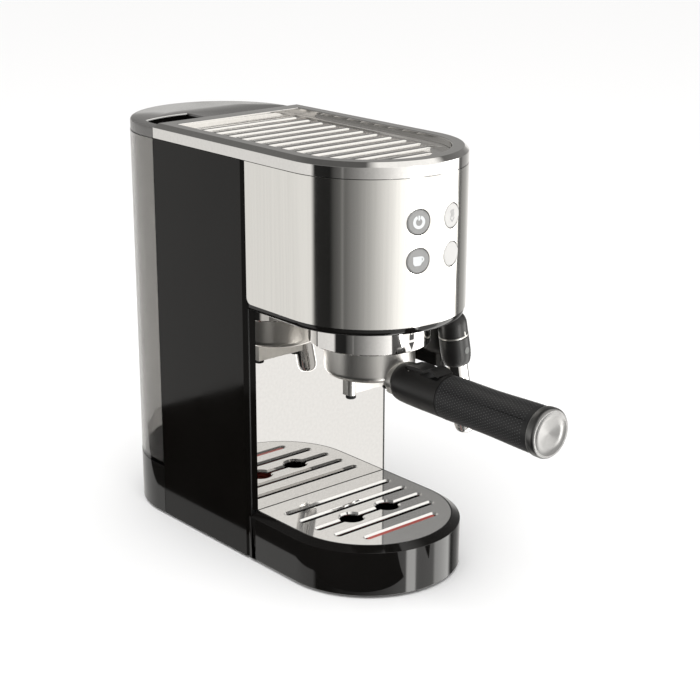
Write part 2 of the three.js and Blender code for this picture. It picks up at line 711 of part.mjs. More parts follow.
// ---- steam wand: drawn upright under its pivot, then leant outwards ----
function makeWand() {
  const ringTop = 179.1;
  const ringBottom = 177.8;
  const sleeveTop = WAND_BODY_BOTTOM + 5.2;
  const domeSteps = 4;
  const dome = [];
  for (let step = 0; step <= domeSteps; step += 1) {
    const turn = (step / domeSteps) * (Math.PI / 2);
    dome.push([WAND_RADIUS * Math.sin(turn), WAND_PIVOT_Z + WAND_RADIUS * Math.cos(turn)]);
  }
  const head = cut(
    turned([...dome, [WAND_RADIUS, ringTop + GAP], [0, ringTop + GAP]], 20),
    rodAlongY(3.3, 5, 20, 0, WAND_PIVOT_Z),
    post(3.3, ringTop - 1, WAND_PIVOT_Z + 1),
  );
  const ringRadius = WAND_RADIUS + 0.2;
  const ring = turned([
    [3.4, ringBottom], [ringRadius, ringBottom], [ringRadius, ringTop], [3.4, ringTop],
  ], 20);
  const body = turned([
    [3.4, ringBottom - GAP], [3.4, sleeveTop + 0.4], [8.1, sleeveTop + 0.4], [8.1, WAND_BODY_BOTTOM],
    [9.6, WAND_BODY_BOTTOM], [10.6, WAND_BODY_BOTTOM + 4], [11.2, 166], [WAND_RADIUS, ringBottom - GAP],
  ], 20);
  const tubeTop = WAND_PIVOT_Z - 0.5;
  const steamTube = turned([[0, 106], [2.2, 106], [3, 108], [3, tubeTop], [0, tubeTop]], 10);
  const froth = turned([
    [3.6, FROTH_BOTTOM], [6, FROTH_BOTTOM + 0.8], [7.6, FROTH_BOTTOM + 3.4], [8.1, FROTH_BOTTOM + 7],
    [7.9, 130], [7.7, 150], [7.7, sleeveTop], [6.7, sleeveTop], [6.7, 150], [7, FROTH_BOTTOM + 7],
    [6.4, FROTH_BOTTOM + 4], [3.6, FROTH_BOTTOM + 2],
  ], 18);
  const pivotPin = rodAlongY(3, 6, 12.7, 0, WAND_PIVOT_Z, 16);
  const upright = group(
    [0, 0, -WAND_PIVOT_Z],
    part('wand_head', head, mattBlack),
    part('wand_ring', ring, chrome),
    part('wand_body', body, mattBlack),
    part('steam_tube', steamTube, steel),
    part('froth_sleeve', froth, chrome),
    part('wand_pivot', pivotPin, steel),
  );
  const leaning = group([WAND_X, WAND_Y, WAND_PIVOT_Z], upright);
  leaning.rotation.y = -WAND_LEAN;
  const housing = join(
    box(47, 62, -60, -30, 150, COLUMN_TOP + 0.2),
    box(42.6, 50, -60, -53, 181, 192),
  );
  return group([0, 0, 0], leaning, part('wand_housing', housing, glossBlack));
}

// ---- water path inside the housing ----
function makeWaterPath() {
  const pumpY = 90;
  const pump = join(
    post(8.6, 62, 160, 0, pumpY),
    post(4, 55, 166, 0, pumpY),
    box(-21, 21, pumpY - 19, pumpY + 19, 88, 134),
  );
  const mounts = [['lower', 68], ['upper', 146]].map(([level, z]) => {
    const block = cut(
      box(-14, 14, pumpY - 13, BACK_Y - 3, z, z + 7),
      post(8.9, z - 1, z + 8, 0, pumpY),
    );
    return part(`pump_mount_${level}`, block, rubber);
  });
  const thermoblock = join(
    turned([
      [0, 214], [33, 214], [33, 222], [29, 224], [29, 232], [33, 234], [33, 242], [29, 244],
      [29, 254], [0, 256],
    ], 24).translate(0, GROUP_Y, 0),
    post(4.5, 206.3, 216, 0, GROUP_Y),
    rodAlongY(5, -6, 5, 0, 240),
    rodAlongX(4, 26, 36, GROUP_Y, 238),
  );
  const suction = tube(
    [[0, OUTLET_Y, 29.4], [0, OUTLET_Y, 26], [0, 158, 21], [0, 148, 20], [0, 120, 20], [0, 96, 24],
      [0, pumpY, 38], [0, pumpY, 54.4]],
    3, 18, 6,
  );
  const pressure = tube(
    [[0, pumpY, 166.4], [0, pumpY, 190], [0, 78, 222], [0, 45, 240], [0, 5.4, 240]],
    3, 14, 6,
  );
  const steam = tube(
    [[36.5, GROUP_Y, 238], [41, GROUP_Y, 238], [50, -37, 233], [55, -45, 216], [55, -45, 198.3]],
    2.4, 12, 6,
  );
  return group(
    [0, 0, 0],
    part('pump', pump, whitePlastic),
    ...mounts,
    part('thermoblock', thermoblock, aluminium),
    part('suction_hose', suction, whitePlastic),
    part('pressure_hose', pressure, whitePlastic),
    part('steam_pipe', steam, brass),
  );
}

const machine = group(
  [0, 0, 0],
  makeBase(),
  makeColumn(),
  makeHeadBase(),
  makeHeadShell(),
  makeTop(),
  makeDock(),
  makeTank(),
  group([0, 0, 0], makeTray(), makeGrid(), makeFloat()),
  makeBrewGroup(),
  makePortafilter(),
  makeButtons(),
  makeWand(),
  makeWaterPath(),
);
machine.name = 'espresso_machine';

export default machine;
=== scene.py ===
"""Looks of the slim espresso machine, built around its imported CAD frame."""

import json
import math
import bmesh
import bpy
from mathutils import Matrix, Vector


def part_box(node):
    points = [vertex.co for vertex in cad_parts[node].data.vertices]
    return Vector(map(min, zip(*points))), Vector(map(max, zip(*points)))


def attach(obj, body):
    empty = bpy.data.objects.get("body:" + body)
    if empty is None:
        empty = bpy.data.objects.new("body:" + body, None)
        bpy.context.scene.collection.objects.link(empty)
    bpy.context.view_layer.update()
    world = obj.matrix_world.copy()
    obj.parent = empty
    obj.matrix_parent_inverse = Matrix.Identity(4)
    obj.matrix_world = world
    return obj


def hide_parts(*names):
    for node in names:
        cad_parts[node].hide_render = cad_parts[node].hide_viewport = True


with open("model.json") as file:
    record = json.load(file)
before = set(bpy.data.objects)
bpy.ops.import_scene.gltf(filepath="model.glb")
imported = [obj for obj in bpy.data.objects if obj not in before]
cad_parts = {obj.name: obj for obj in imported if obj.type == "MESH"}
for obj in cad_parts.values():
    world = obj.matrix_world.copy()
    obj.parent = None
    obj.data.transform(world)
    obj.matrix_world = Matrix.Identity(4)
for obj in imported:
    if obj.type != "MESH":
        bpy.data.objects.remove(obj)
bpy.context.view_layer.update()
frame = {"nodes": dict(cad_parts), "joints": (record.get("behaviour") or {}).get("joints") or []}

MM = 0.001
GAP = 0.3 * MM  # between neighbouring pieces
SPARE = 1 * MM  # how far a cutting tool reaches past what it cuts
NODES = frame["nodes"]

# ---- places, from the frame ----
shell_low, shell_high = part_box("head_shell")
rim_low, rim_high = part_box("top_rim")
shelf_low, shelf_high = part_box("cup_plate")
tank_low, tank_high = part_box("water_tank")
lid_low, lid_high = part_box("tank_lid")
dock_low, dock_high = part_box("tank_dock")
tray_low, tray_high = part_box("drip_tray")
grid_low, grid_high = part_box("drip_grid")
ring_low, ring_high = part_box("group_ring")
bowl_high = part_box("portafilter_bowl")[1]
cap_low, cap_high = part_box("handle_cap")

RADIUS = shell_high.x
FRONT_Y = shell_low.y + RADIUS
TANK_Y = dock_high.y - RADIUS
GROUP_Y = (ring_low.y + ring_high.y) / 2
HANDLE_Z = (cap_low.z + cap_high.z) / 2

ARC = 72
ROUND = 96
SMALL = 40


# ---- mesh tools ----
def new_piece(name, vertices, faces):
    mesh = bpy.data.meshes.new(name)
    mesh.from_pydata([tuple(v) for v in vertices], [], faces)
    edit = bmesh.new()
    edit.from_mesh(mesh)
    bmesh.ops.remove_doubles(edit, verts=edit.verts, dist=1e-6)
    bmesh.ops.recalc_face_normals(edit, faces=edit.faces)
    edit.to_mesh(mesh)
    edit.free()
    piece = bpy.data.objects.new(name, mesh)
    bpy.context.scene.collection.objects.link(piece)
    return piece


def arc(radius, start, end, centre=(0, 0), steps=8):
    turns = [start + (end - start) * i / steps for i in range(steps + 1)]
    return [(centre[0] + radius * math.cos(t), centre[1] + radius * math.sin(t)) for t in turns]


def front_outline(half, rear_y):
    """Straight sides with a half-round front end, anticlockwise from the rear right corner."""
    return [(half, rear_y), (-half, rear_y)] + arc(half, math.pi, 2 * math.pi, (0, FRONT_Y), ARC)


def rear_outline(half, front_y):
    return [(-half, front_y), (half, front_y)] + arc(half, 0, math.pi, (0, TANK_Y), ARC)


def stack(name, levels, close=False):
    """Joins outlines of equal length, each given as (outline, height), into one closed skin."""
    count = len(levels[0][0])
    vertices = [(x, y, z) for outline, z in levels for x, y in outline]
    faces = []
    pairs = len(levels) if close else len(levels) - 1
    for level in range(pairs):
        low = level * count
        high = ((level + 1) % len(levels)) * count
        for i in range(count):
            j = (i + 1) % count
            faces.append((low + i, low + j, high + j, high + i))
    if not close:
        faces.append(tuple(reversed(range(count))))
        faces.append(tuple(range(len(vertices) - count, len(vertices))))
    return new_piece(name, vertices, faces)


def prism(name, outline, z0, z1):
    return stack(name, [(outline, z0), (outline, z1)])


def box(name, low, high):
    corners = [(low[0], low[1]), (high[0], low[1]), (high[0], high[1]), (low[0], high[1])]
    return prism(name, corners, low[2], high[2])


def turned(name, profile, centre=(0, 0, 0), steps=ROUND, turn=None):
    """A solid of revolution about Z from (radius, height) points, turned and then moved to centre."""
    closed = profile[0][0] > 1e-9
    levels = []
    for radius, height in profile:
        levels.append(([(max(radius, 1e-7) * x, max(radius, 1e-7) * y)
                        for x, y in arc(1, 0, 2 * math.pi, steps=steps)[:-1]], height))
    piece = stack(name, levels, close=closed)
    place(piece, centre, turn)
    return piece


def place(piece, centre=(0, 0, 0), turn=None):
    matrix = Matrix.Translation(Vector(centre)) @ (turn or Matrix.Identity(4))
    piece.data.transform(matrix)
    return piece


def rod(name, radius, start, end, steps=SMALL):
    """A round bar between two points."""
    start, end = Vector(start), Vector(end)
    along = end - start
    turn = along.to_track_quat("Z", "Y").to_matrix().to_4x4()
    return turned(name, [(0, 0), (radius, 0), (radius, along.length), (0, along.length)], start, steps, turn)


def slab(name, profile, x0, x1):
    """A prism along X from (y, z) points."""
    piece = prism(name, profile, x0, x1)
    piece.data.transform(Matrix(((0, 0, 1, 0), (1, 0, 0, 0), (0, 1, 0, 0), (0, 0, 0, 1))))
    return piece


def combine(piece, tools, operation):
    for tool in tools:
        change = piece.modifiers.new("combine", "BOOLEAN")
        change.operation = operation
        change.object = tool
        change.solver = "EXACT"
        bake(piece)
        bpy.data.objects.remove(tool)
    return piece


def cut(piece, *tools):
    return combine(piece, tools, "DIFFERENCE")


def join(piece, *tools):
    return combine(piece, tools, "UNION")


def bake(piece):
    view = bpy.context.evaluated_depsgraph_get()
    mesh = bpy.data.meshes.new_from_object(piece.evaluated_get(view))
    piece.modifiers.clear()
    piece.data = mesh


def soften(piece, width=0.4, segments=3, angle=30):
    """Rounds the sharp edges by a width in millimetres and shades the rest smooth."""
    piece.data.shade_smooth()
    if width:
        bevel = piece.modifiers.new("edges", "BEVEL")
        bevel.width = width * MM
        bevel.segments = segments
        bevel.limit_method = "ANGLE"
        bevel.angle_limit = math.radians(angle)
        bevel.harden_normals = True
    else:
        piece.data.set_sharp_from_angle(angle=math.radians(angle))
    return piece


def merge(pieces, name):
    """Joins separate meshes into the first one, without cutting them."""
    edit = bmesh.new()
    for piece in pieces:
        edit.from_mesh(piece.data)
    edit.to_mesh(pieces[0].data)
    edit.free()
    for piece in pieces[1:]:
        bpy.data.objects.remove(piece)
    pieces[0].name = name
    pieces[0].data.shade_smooth()
    pieces[0].data.set_sharp_from_angle(angle=math.radians(35))
    return pieces[0]


def mm(*numbers):
    return tuple(n * MM for n in numbers)


def points(*pairs):
    return [(a * MM, b * MM) for a, b in pairs]


def raised(base, *pairs):
    """Profile points from (radius, height above base) pairs in millimetres."""
    return [(radius * MM, base + height * MM) for radius, height in pairs]


def dress(piece, body, slot, look, *replaced):
    """Gives a piece its material and its body and hides the CAD nodes it stands for; the slot argument is not
    used.
    """
    piece.data.materials.clear()
    piece.data.materials.append(LOOKS[look])
    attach(piece, body)
    if replaced:
        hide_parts(*replaced)
    return piece


# ---- materials ----
def base_look(name, color, roughness, metallic=0.0, **sockets):
    look = bpy.data.materials.new(name)
    look.use_nodes = True
    shader = look.node_tree.nodes["Principled BSDF"]
    shader.inputs["Base Color"].default_value = (*color, 1)
    shader.inputs["Roughness"].default_value = roughness
    shader.inputs["Metallic"].default_value = metallic
    for socket, value in sockets.items():
        shader.inputs[socket.replace("_", " ")].default_value = value
    return look


def noise(look, scale, stretch=(1, 1, 1)):
    """A noise texture in object space, stretched along the axes."""
    tree = look.node_tree
    coordinates = tree.nodes.new("ShaderNodeTexCoord")
    mapping = tree.nodes.new("ShaderNodeMapping")
    texture = tree.nodes.new("ShaderNodeTexNoise")
    mapping.inputs["Scale"].default_value = stretch
    texture.inputs["Scale"].default_value = scale
    texture.inputs["Detail"].default_value = 3.0
    tree.links.new(coordinates.outputs["Object"], mapping.inputs["Vector"])
    tree.links.new(mapping.outputs["Vector"], texture.inputs["Vector"])
    return texture.outputs["Fac"]


def vary(look, socket, value, low, high):
    """Drives a shader socket from a 0 to 1 value, spread between low and high."""
    tree = look.node_tree
    spread = tree.nodes.new("ShaderNodeMapRange")
    spread.inputs["From Min"].default_value = 0.3
    spread.inputs["From Max"].default_value = 0.7
    spread.inputs["To Min"].default_value = low
    spread.inputs["To Max"].default_value = high
    tree.links.new(value, spread.inputs["Value"])
    tree.links.new(spread.outputs["Result"], tree.nodes["Principled BSDF"].inputs[socket])


def tint(look, value, low, high):
    tree = look.node_tree
    ramp = tree.nodes.new("ShaderNodeValToRGB")
    ramp.color_ramp.elements[0].position = 0.35
    ramp.color_ramp.elements[1].position = 0.65
    ramp.color_ramp.elements[0].color = (*low, 1)
    ramp.color_ramp.elements[1].color = (*high, 1)
    tree.links.new(value, ramp.inputs["Fac"])
    tree.links.new(ramp.outputs["Color"], tree.nodes["Principled BSDF"].inputs["Base Color"])


def bump(look, value, depth, strength):
    tree = look.node_tree
    node = tree.nodes.new("ShaderNodeBump")
    node.inputs["Strength"].default_value = strength
    node.inputs["Distance"].default_value = depth
    tree.links.new(value, node.inputs["Height"])
    tree.links.new(node.outputs["Normal"], tree.nodes["Principled BSDF"].inputs["Normal"])


def metal(name, color, roughness, spread=0.04, grain=(1, 1, 1), depth=2e-6):
    """Metal with a fine grain along one direction and slow changes of polish."""
    look = base_look(name, color, roughness, 1.0)
    fine = noise(look, 400, grain)
    slow = noise(look, 18)
    vary(look, "Roughness", slow, roughness - spread, roughness + spread)
    tint(look, fine, tuple(c * 0.96 for c in color), color)
    bump(look, fine, depth, 0.3)
    return look


def plastic(name, color, roughness, spread=0.05, grain_scale=900, depth=8e-6):
    """Moulded plastic or rubber with a fine texture and slow changes of polish."""
    look = base_look(name, color, roughness)
    fine = noise(look, grain_scale)
    slow = noise(look, 25)
    vary(look, "Roughness", slow, roughness - spread, roughness + spread)
    tint(look, slow, tuple(c * 0.85 for c in color), color)
    bump(look, fine, depth, 0.4)
    return look


LOOKS = {
    "steel": metal("brushed_stainless", (0.93, 0.915, 0.88), 0.1, 0.02, (1, 1, 0.02)),
    "satin_steel": metal("satin_stainless", (0.74, 0.725, 0.695), 0.36, 0.04, (1, 1, 0.05)),
    "pressed_steel": metal("pressed_stainless", (0.9, 0.885, 0.86), 0.1, 0.02, (0.05, 1, 1)),
    "chrome": metal("polished_chrome", (0.9, 0.885, 0.865), 0.05, 0.015),
    "mirror": metal("mirror_stainless", (0.64, 0.63, 0.618), 0.02, 0.01, depth=2e-8),
    "grid": metal("polished_grid", (0.93, 0.92, 0.9), 0.05, 0.02, depth=2e-7),
    "aluminium": metal("cast_aluminium", (0.5, 0.5, 0.5), 0.42, 0.08, depth=2e-5),
    "brass": metal("drawn_brass", (0.62, 0.45, 0.2), 0.25, 0.05),
    "gloss_black": plastic("gloss_black_plastic", (0.006, 0.0055, 0.005), 0.07, 0.02, 60, 4e-6),
    "matt_black": plastic("matt_black_plastic", (0.012, 0.012, 0.012), 0.42, 0.06, 1400, 1e-5),
    "satin_black": plastic("satin_black_plastic", (0.012, 0.0115, 0.011), 0.36, 0.05, 1100, 6e-6),
    "rubber": plastic("black_rubber", (0.012, 0.012, 0.012), 0.75, 0.1, 1500, 2e-5),
    "grip": plastic("grip_rubber", (0.014, 0.014, 0.0145), 0.5, 0.06, 1800, 1.5e-5),
    # grip dots: lighter grey than the grip rubber, a painted highlight on the raised dots
    "grip_dot_highlight": plastic("grip_dot_highlights", (0.11, 0.11, 0.11), 0.38, 0.05, 1500, 5e-6),
    "red": plastic("red_plastic", (0.52, 0.09, 0.07), 0.38, 0.05),
    "button_grey": plastic("grey_button", (0.3, 0.3, 0.295), 0.35, 0.05),
    "button_pale": plastic("pale_button", (0.72, 0.71, 0.69), 0.35, 0.05),
    "icon": plastic("pale_icon", (0.85, 0.87, 0.88), 0.4, 0.05),
    "icon_grey": plastic("grey_icon", (0.42, 0.42, 0.42), 0.4, 0.05),
    "window": plastic("wand_window", (0.13, 0.135, 0.13), 0.3, 0.05),
    "panel_black": plastic("side_panel_plastic", (0.004, 0.0035, 0.003), 0.09, 0.03, 60, 3e-6),
    "mark": plastic("black_print", (0.01, 0.01, 0.01), 0.5, 0.05),
    "white": plastic("white_plastic", (0.7, 0.69, 0.65), 0.45, 0.08),
    "board": plastic("solder_resist", (0.02, 0.1, 0.045), 0.35, 0.06),
}


def smoke(name, color, roughness):
    look = base_look(name, color, roughness, Transmission_Weight=1.0, IOR=1.45)
    slow = noise(look, 30)
    vary(look, "Roughness", slow, roughness * 0.5, roughness * 1.5)
    bump(look, noise(look, 40), 6e-6, 0.3)
    return look


LOOKS["smoke"] = smoke("smoke_plastic", (0.42, 0.41, 0.395), 0.03)
LOOKS["smoke_lid"] = smoke("smoke_lid_plastic", (0.15, 0.145, 0.14), 0.05)
LOOKS["smoke_lid"].node_tree.nodes["Principled BSDF"].inputs["Transmission Weight"].default_value = 0.25
LOOKS["panel_black"].node_tree.nodes["Principled BSDF"].inputs["Specular IOR Level"].default_value = 0.22
LOOKS["grid"].node_tree.nodes["Principled BSDF"].inputs["Metallic"].default_value = 0.86


def spun_look():
    """Spin-brushed steel: its grain runs in rings, so highlights fan out from the centre."""
    look = metal("spun_stainless", (0.27, 0.268, 0.265), 0.3, 0.04)
    shader = look.node_tree.nodes["Principled BSDF"]
    shader.inputs["Anisotropic"].default_value = 0.85
    tangent = look.node_tree.nodes.new("ShaderNodeTangent")
    tangent.direction_type = "RADIAL"
    tangent.axis = "Y"
    look.node_tree.links.new(tangent.outputs["Tangent"], shader.inputs["Tangent"])
    return look


LOOKS["spun"] = spun_look()


# ---- housing ----
def open_band(half, thickness, rear_y):
    """A U-shaped strip, open at the rear."""
    inner = half - thickness
    outside = [(-half, rear_y)] + arc(half, math.pi, 2 * math.pi, (0, FRONT_Y), ARC) + [(half, rear_y)]
    inside = [(inner, rear_y)] + arc(inner, 2 * math.pi, math.pi, (0, FRONT_Y), ARC) + [(-inner, rear_y)]
    return outside + inside


def button_frames():
    """Each button's centre on the shell and its outward direction, by node name."""
    frames = {}
    for name in ("button_power", "button_coffee", "button_steam", "button_water"):
        low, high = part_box(name)
        joint = next(j for j in frame["joints"] if j["child"] == name)
        outward = -Vector(joint["axis"]).normalized()
        centre = Vector((0, FRONT_Y, (low.z + high.z) / 2)) + outward * RADIUS
        frames[name] = (centre, outward)
    return frames


BUTTONS = button_frames()
BUTTON_RADIUS = (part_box("button_power")[1].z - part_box("button_power")[0].z) / 2


def make_shell():
    rear = shell_high.y
    shell = prism("head_cover", open_band(RADIUS, 1.1 * MM, rear), shell_low.z, shell_high.z)
    hole_radius = BUTTON_RADIUS + 0.55 * MM
    reach = 8 * MM
    holes = [rod("hole", hole_radius, centre - outward * reach, centre + outward * reach, 64)
             for centre, outward in BUTTONS.values()]
    corner = 5 * MM
    bend = arc(corner, 0, -math.pi / 2, (rear - corner, shell_low.z + corner), 10)
    profile = [(rear + SPARE, shell_low.z - SPARE), (rear + SPARE, shell_low.z + corner)]
    profile += bend + [(rear - corner, shell_low.z - SPARE)]
    holes.append(slab("corner_tool", profile, -RADIUS * 1.1, RADIUS * 1.1))
    cut(shell, *holes)
    soften(shell, 0.25, 2, 40)
    dress(shell, "machine", "steel", "steel", "head_shell")


def make_rim():
    rear = rim_high.y
    bevel = 3.3 * MM
    seat = shelf_high.x + GAP
    seat_rear = shelf_high.y + GAP
    ledge = 6 * MM
    edge = 0.4 * MM
    levels = [
        (front_outline(RADIUS, rear), rim_low.z),
        (front_outline(RADIUS, rear), rim_high.z - bevel),
        (front_outline(RADIUS - bevel, rear - bevel), rim_high.z),
        (front_outline(seat + edge, seat_rear + edge), rim_high.z),
        (front_outline(seat, seat_rear), rim_high.z - edge),
        (front_outline(seat, seat_rear), shelf_low.z - GAP),
        (front_outline(seat - ledge, seat_rear - ledge), shelf_low.z - GAP),
        (front_outline(seat - ledge, seat_rear - ledge), rim_low.z),
    ]
    rim = stack("top_rim_chrome", levels, close=True)
    soften(rim, 0.25, 2, 25)
    dress(rim, "machine", "chrome", "chrome", "top_rim")


RIB_COUNT = 12
RIB_PITCH = 15.8 * MM
RIB_FIRST_Y = 105 * MM
RIB_HALF = 46.5 * MM


def rib_places():
    """The front line and half length of each rib, shorter where the shelf is round."""
    for i in range(RIB_COUNT):
        y = RIB_FIRST_Y - i * RIB_PITCH
        beyond = min(0, y - 2 * MM - FRONT_Y)
        yield y, math.sqrt(RIB_HALF ** 2 - beyond ** 2)


def rib_mesh(y, half, floor_z, height):
    """A rib with a steep rounded front, a flat top, a rear slope, and ends that sink into the floor."""
    section = [(-0.9, -0.6), (-0.5, 0.0), (-0.3, 0.6), (0, 0.92), (0.4, 1.0), (6.8, 1.0), (8.2, 0), (8.6, -0.6)]
    ends = [(0, 0.0), (0.8, 0.45), (1.8, 0.85), (3.2, 1.0)]
    stations = [(-half + e * MM, h) for e, h in ends] + [(half - e * MM, h) for e, h in reversed(ends)]
    vertices = []
    for x, rise in stations:
        for offset, level in section:
            z = floor_z + (level * rise * height if level > 0 else level * MM)
            vertices.append((x, y + offset * MM, z))
    count = len(section)
    faces = []
    for s in range(len(stations) - 1):
        for i in range(count):
            j = (i + 1) % count
            faces.append((s * count + i, s * count + j, (s + 1) * count + j, (s + 1) * count + i))
    faces.append(tuple(range(count)))
    faces.append(tuple(reversed(range(len(vertices) - count, len(vertices)))))
    return new_piece("rib", vertices, faces)


def make_shelf():
    """The cup shelf: a plate with raised ribs, and at the left end of each rib a small flat dark disc as painted
    shadow.
    """
    floor_z = shelf_high.z - 1.2 * MM
    plate = prism("cup_shelf", front_outline(shelf_high.x, shelf_high.y), shelf_low.z, floor_z)
    ribs = [rib_mesh(y, half, floor_z, shelf_high.z - floor_z) for y, half in rib_places()]
    join(plate, *ribs)
    soften(plate, 0, angle=40)
    dress(plate, "machine", "steel", "pressed_steel", "cup_plate")
    # painted shadow: a flat dark disc at the left end of each rib stands for the shadow of the rib's end
    rib_end_shadows = []
    for y, half in rib_places():
        spot = Vector((-half - 0.6 * MM, y - 1.2 * MM, floor_z))
        rib_end_shadows.append(rod("drain", 0.9 * MM, spot, spot + Vector((0, 0, 0.06 * MM)), 16))
    merge(rib_end_shadows, "cup_shelf_rib_shadows")
    dress(rib_end_shadows[0], "machine", "matt_black", "mark")


def make_side_covers():
    """Side covers whose front edge is cut back at a slant to meet the splash plate."""
    column_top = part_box("splash_plate")[1].z
    step_z = tray_high.z + 0.6 * MM
    wall, flange, slant, corner = mm(2.5, 6.6, 6.8, 2.9)
    for side, sign in (("left", -1), ("right", 1)):
        low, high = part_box(f"side_panel_{side}")
        front = low.y
        outer_x, wall_x, flange_x = (sign * (RADIUS - inset) for inset in (0, wall, flange))
        corners = [
            (outer_x, high.y), (wall_x, high.y), (wall_x, front + slant), (flange_x, front + corner),
            (flange_x, front), (outer_x, front + flange * 0.9),
        ]
        cover = prism(f"side_cover_{side}", corners, low.z, high.z)
        inner, outer = sorted((sign * (RADIUS - 8 * MM), sign * (RADIUS + SPARE)))
        below = box("below", (inner, front - SPARE, low.z - SPARE), (outer, front + 3 * MM, step_z))
        above = box("above", (inner, front - SPARE, column_top), (outer, front + SPARE, high.z + SPARE))
        cut(cover, below, above)
        soften(cover, 0.5, 3, 25)
        dress(cover, "machine", "gloss_black", "panel_black", f"side_panel_{side}")


def make_head_base():
    low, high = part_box("head_base")
    top = shell_low.z - GAP
    rear = high.y
    half = high.x
    base = stack("head_base_rim", [
        (front_outline(half - 1.2 * MM, rear), low.z),
        (front_outline(half - 0.3 * MM, rear), low.z + 0.9 * MM),
        (front_outline(half, rear), low.z + 2.4 * MM),
        (front_outline(half, rear), top),
    ])
    ring_hole_radius, pipe_hole_radius = mm(43.2, 4)
    pipe_low, pipe_high = mm(55, -45, 195), mm(55, -45, 206)
    hole = rod("ring_hole", ring_hole_radius, (0, GROUP_Y, low.z - SPARE), (0, GROUP_Y, top + SPARE), ROUND)
    pipe = rod("pipe_hole", pipe_hole_radius, pipe_low, pipe_high)
    cut(base, hole, pipe)
    soften(base, 0.3, 2, 40)
    dress(base, "machine", "gloss_black", "gloss_black", "head_base")


# ---- rear: dock, tank, lid ----
def outlet_y():
    low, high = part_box("tank_valve")
    return (low.y + high.y) / 2


def make_dock():
    """The base under the tank, with the outlet's socket, the cord gland's hole and the hose's hole."""
    wall = 2.5 * MM
    front = dock_low.y
    inner = RADIUS - wall
    socket_radius, socket_bore, gland_radius, hose_radius, hose_z = mm(13, 10.4, 6.8, 6, 20)
    socket_bottom, bore_bottom = mm(30, 32)
    gland_low, gland_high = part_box("cord_gland")
    gland_z = (gland_low.z + gland_high.z) / 2
    base_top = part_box("base_plate")[1].z + GAP
    centre = outlet_y()
    dock = prism("tank_base", rear_outline(RADIUS, front), dock_low.z, dock_high.z)
    inside = prism("dock_hollow", rear_outline(inner, front + wall), dock_low.z - wall, dock_high.z - wall)
    socket = rod("socket", socket_radius, (0, centre, socket_bottom), (0, centre, dock_high.z - SPARE), 48)
    bore = rod("bore", socket_bore, (0, centre, bore_bottom), (0, centre, dock_high.z + SPARE), 48)
    gland = rod("gland_hole", gland_radius, (0, gland_low.y, gland_z), (0, gland_high.y + 5 * MM, gland_z), 48)
    hose = rod("hose_hole", hose_radius, (0, front - wall, hose_z), (0, front + 2 * wall, hose_z))
    slot = box("base_slot", (-inner, front - wall, 0), (inner, front + 2 * wall, base_top))
    cut(dock, inside)
    join(dock, socket)
    cut(dock, bore, gland, hose, slot)
    soften(dock, 0.5, 3, 35)
    dress(dock, "machine", "gloss_black", "gloss_black", "tank_dock")


def make_tank():
    half = tank_high.x
    front = tank_low.y
    wall = 2.2 * MM
    bottom = dock_high.z + 0.4 * MM
    tank = prism("tank_body", rear_outline(half, front), bottom, tank_high.z)
    hollow = prism("tank_hollow", rear_outline(half - wall, front + wall), bottom + wall, tank_high.z + wall)
    centre = outlet_y()
    neck_radius, outlet_radius = mm(9.8, 6)
    neck = rod("neck", neck_radius, (0, centre, tank_low.z), (0, centre, bottom + SPARE), 48)
    outlet = rod("outlet", outlet_radius, (0, centre, tank_low.z - wall), (0, centre, bottom + 2 * wall), 48)
    cut(tank, hollow)
    join(tank, neck)
    cut(tank, outlet)
    soften(tank, 0.7, 3, 35)
    dress(tank, "tank", "smoke", "smoke", "water_tank")


RECESS_RIGHT = -14 * MM
RECESS_NEAR = 140 * MM
RECESS_FAR = 168 * MM
RECESS_RADIUS = 60 * MM
RECESS_TURN = math.asin(18 / 60)


def recess_far_edge(margin):
    """The recess's curved far side, from its right end to its left."""
    right = RECESS_RIGHT + margin
    outer = RECESS_RADIUS + margin
    start = Vector((right, RECESS_FAR + margin))
    middle = Vector((-36 * MM, RECESS_FAR + 3 * MM + margin))
    end = Vector((-outer * math.cos(RECESS_TURN), TANK_Y + outer * math.sin(RECESS_TURN)))
    steps = 20
    return [tuple(start * (1 - t) ** 2 + middle * 2 * t * (1 - t) + end * t ** 2)
            for t in [i / steps for i in range(steps + 1)]]


def recess_outline(margin):
    """The crescent finger recess in the lid's left half."""
    outer = RECESS_RADIUS + margin
    near = RECESS_NEAR - margin
    side = [(-x, TANK_Y + y) for x, y in arc(outer, RECESS_TURN, 0, steps=8)[1:]]
    return [(RECESS_RIGHT + margin, near)] + recess_far_edge(margin) + side + [(-outer, near)]


def make_lid():
    half = lid_high.x
    front = lid_low.y
    skin = 2.4 * MM
    lid = stack("lid_body", [
        (rear_outline(half, front), lid_low.z),
        (rear_outline(half, front), lid_high.z - 1.5 * MM),
        (rear_outline(half - 0.5 * MM, front + 0.5 * MM), lid_high.z - 0.5 * MM),
        (rear_outline(half - 1.5 * MM, front + 1.5 * MM), lid_high.z),
    ])
    hollow = prism("lid_hollow", rear_outline(half - skin, front + skin), lid_low.z - skin, lid_high.z - skin)
    pocket = prism("lid_pocket", recess_outline(2 * MM), lid_low.z, lid_high.z - skin + 1 * MM)
    recess = prism("lid_recess", recess_outline(0), lid_low.z + 1.6 * MM, lid_high.z + skin)
    cut(lid, hollow)
    join(lid, pocket)
    cut(lid, recess)
    soften(lid, 0.5, 3, 35)
    dress(lid, "tank_lid", "smoke_lid", "smoke_lid", "tank_lid")
    make_lid_recess_shade_and_highlight()


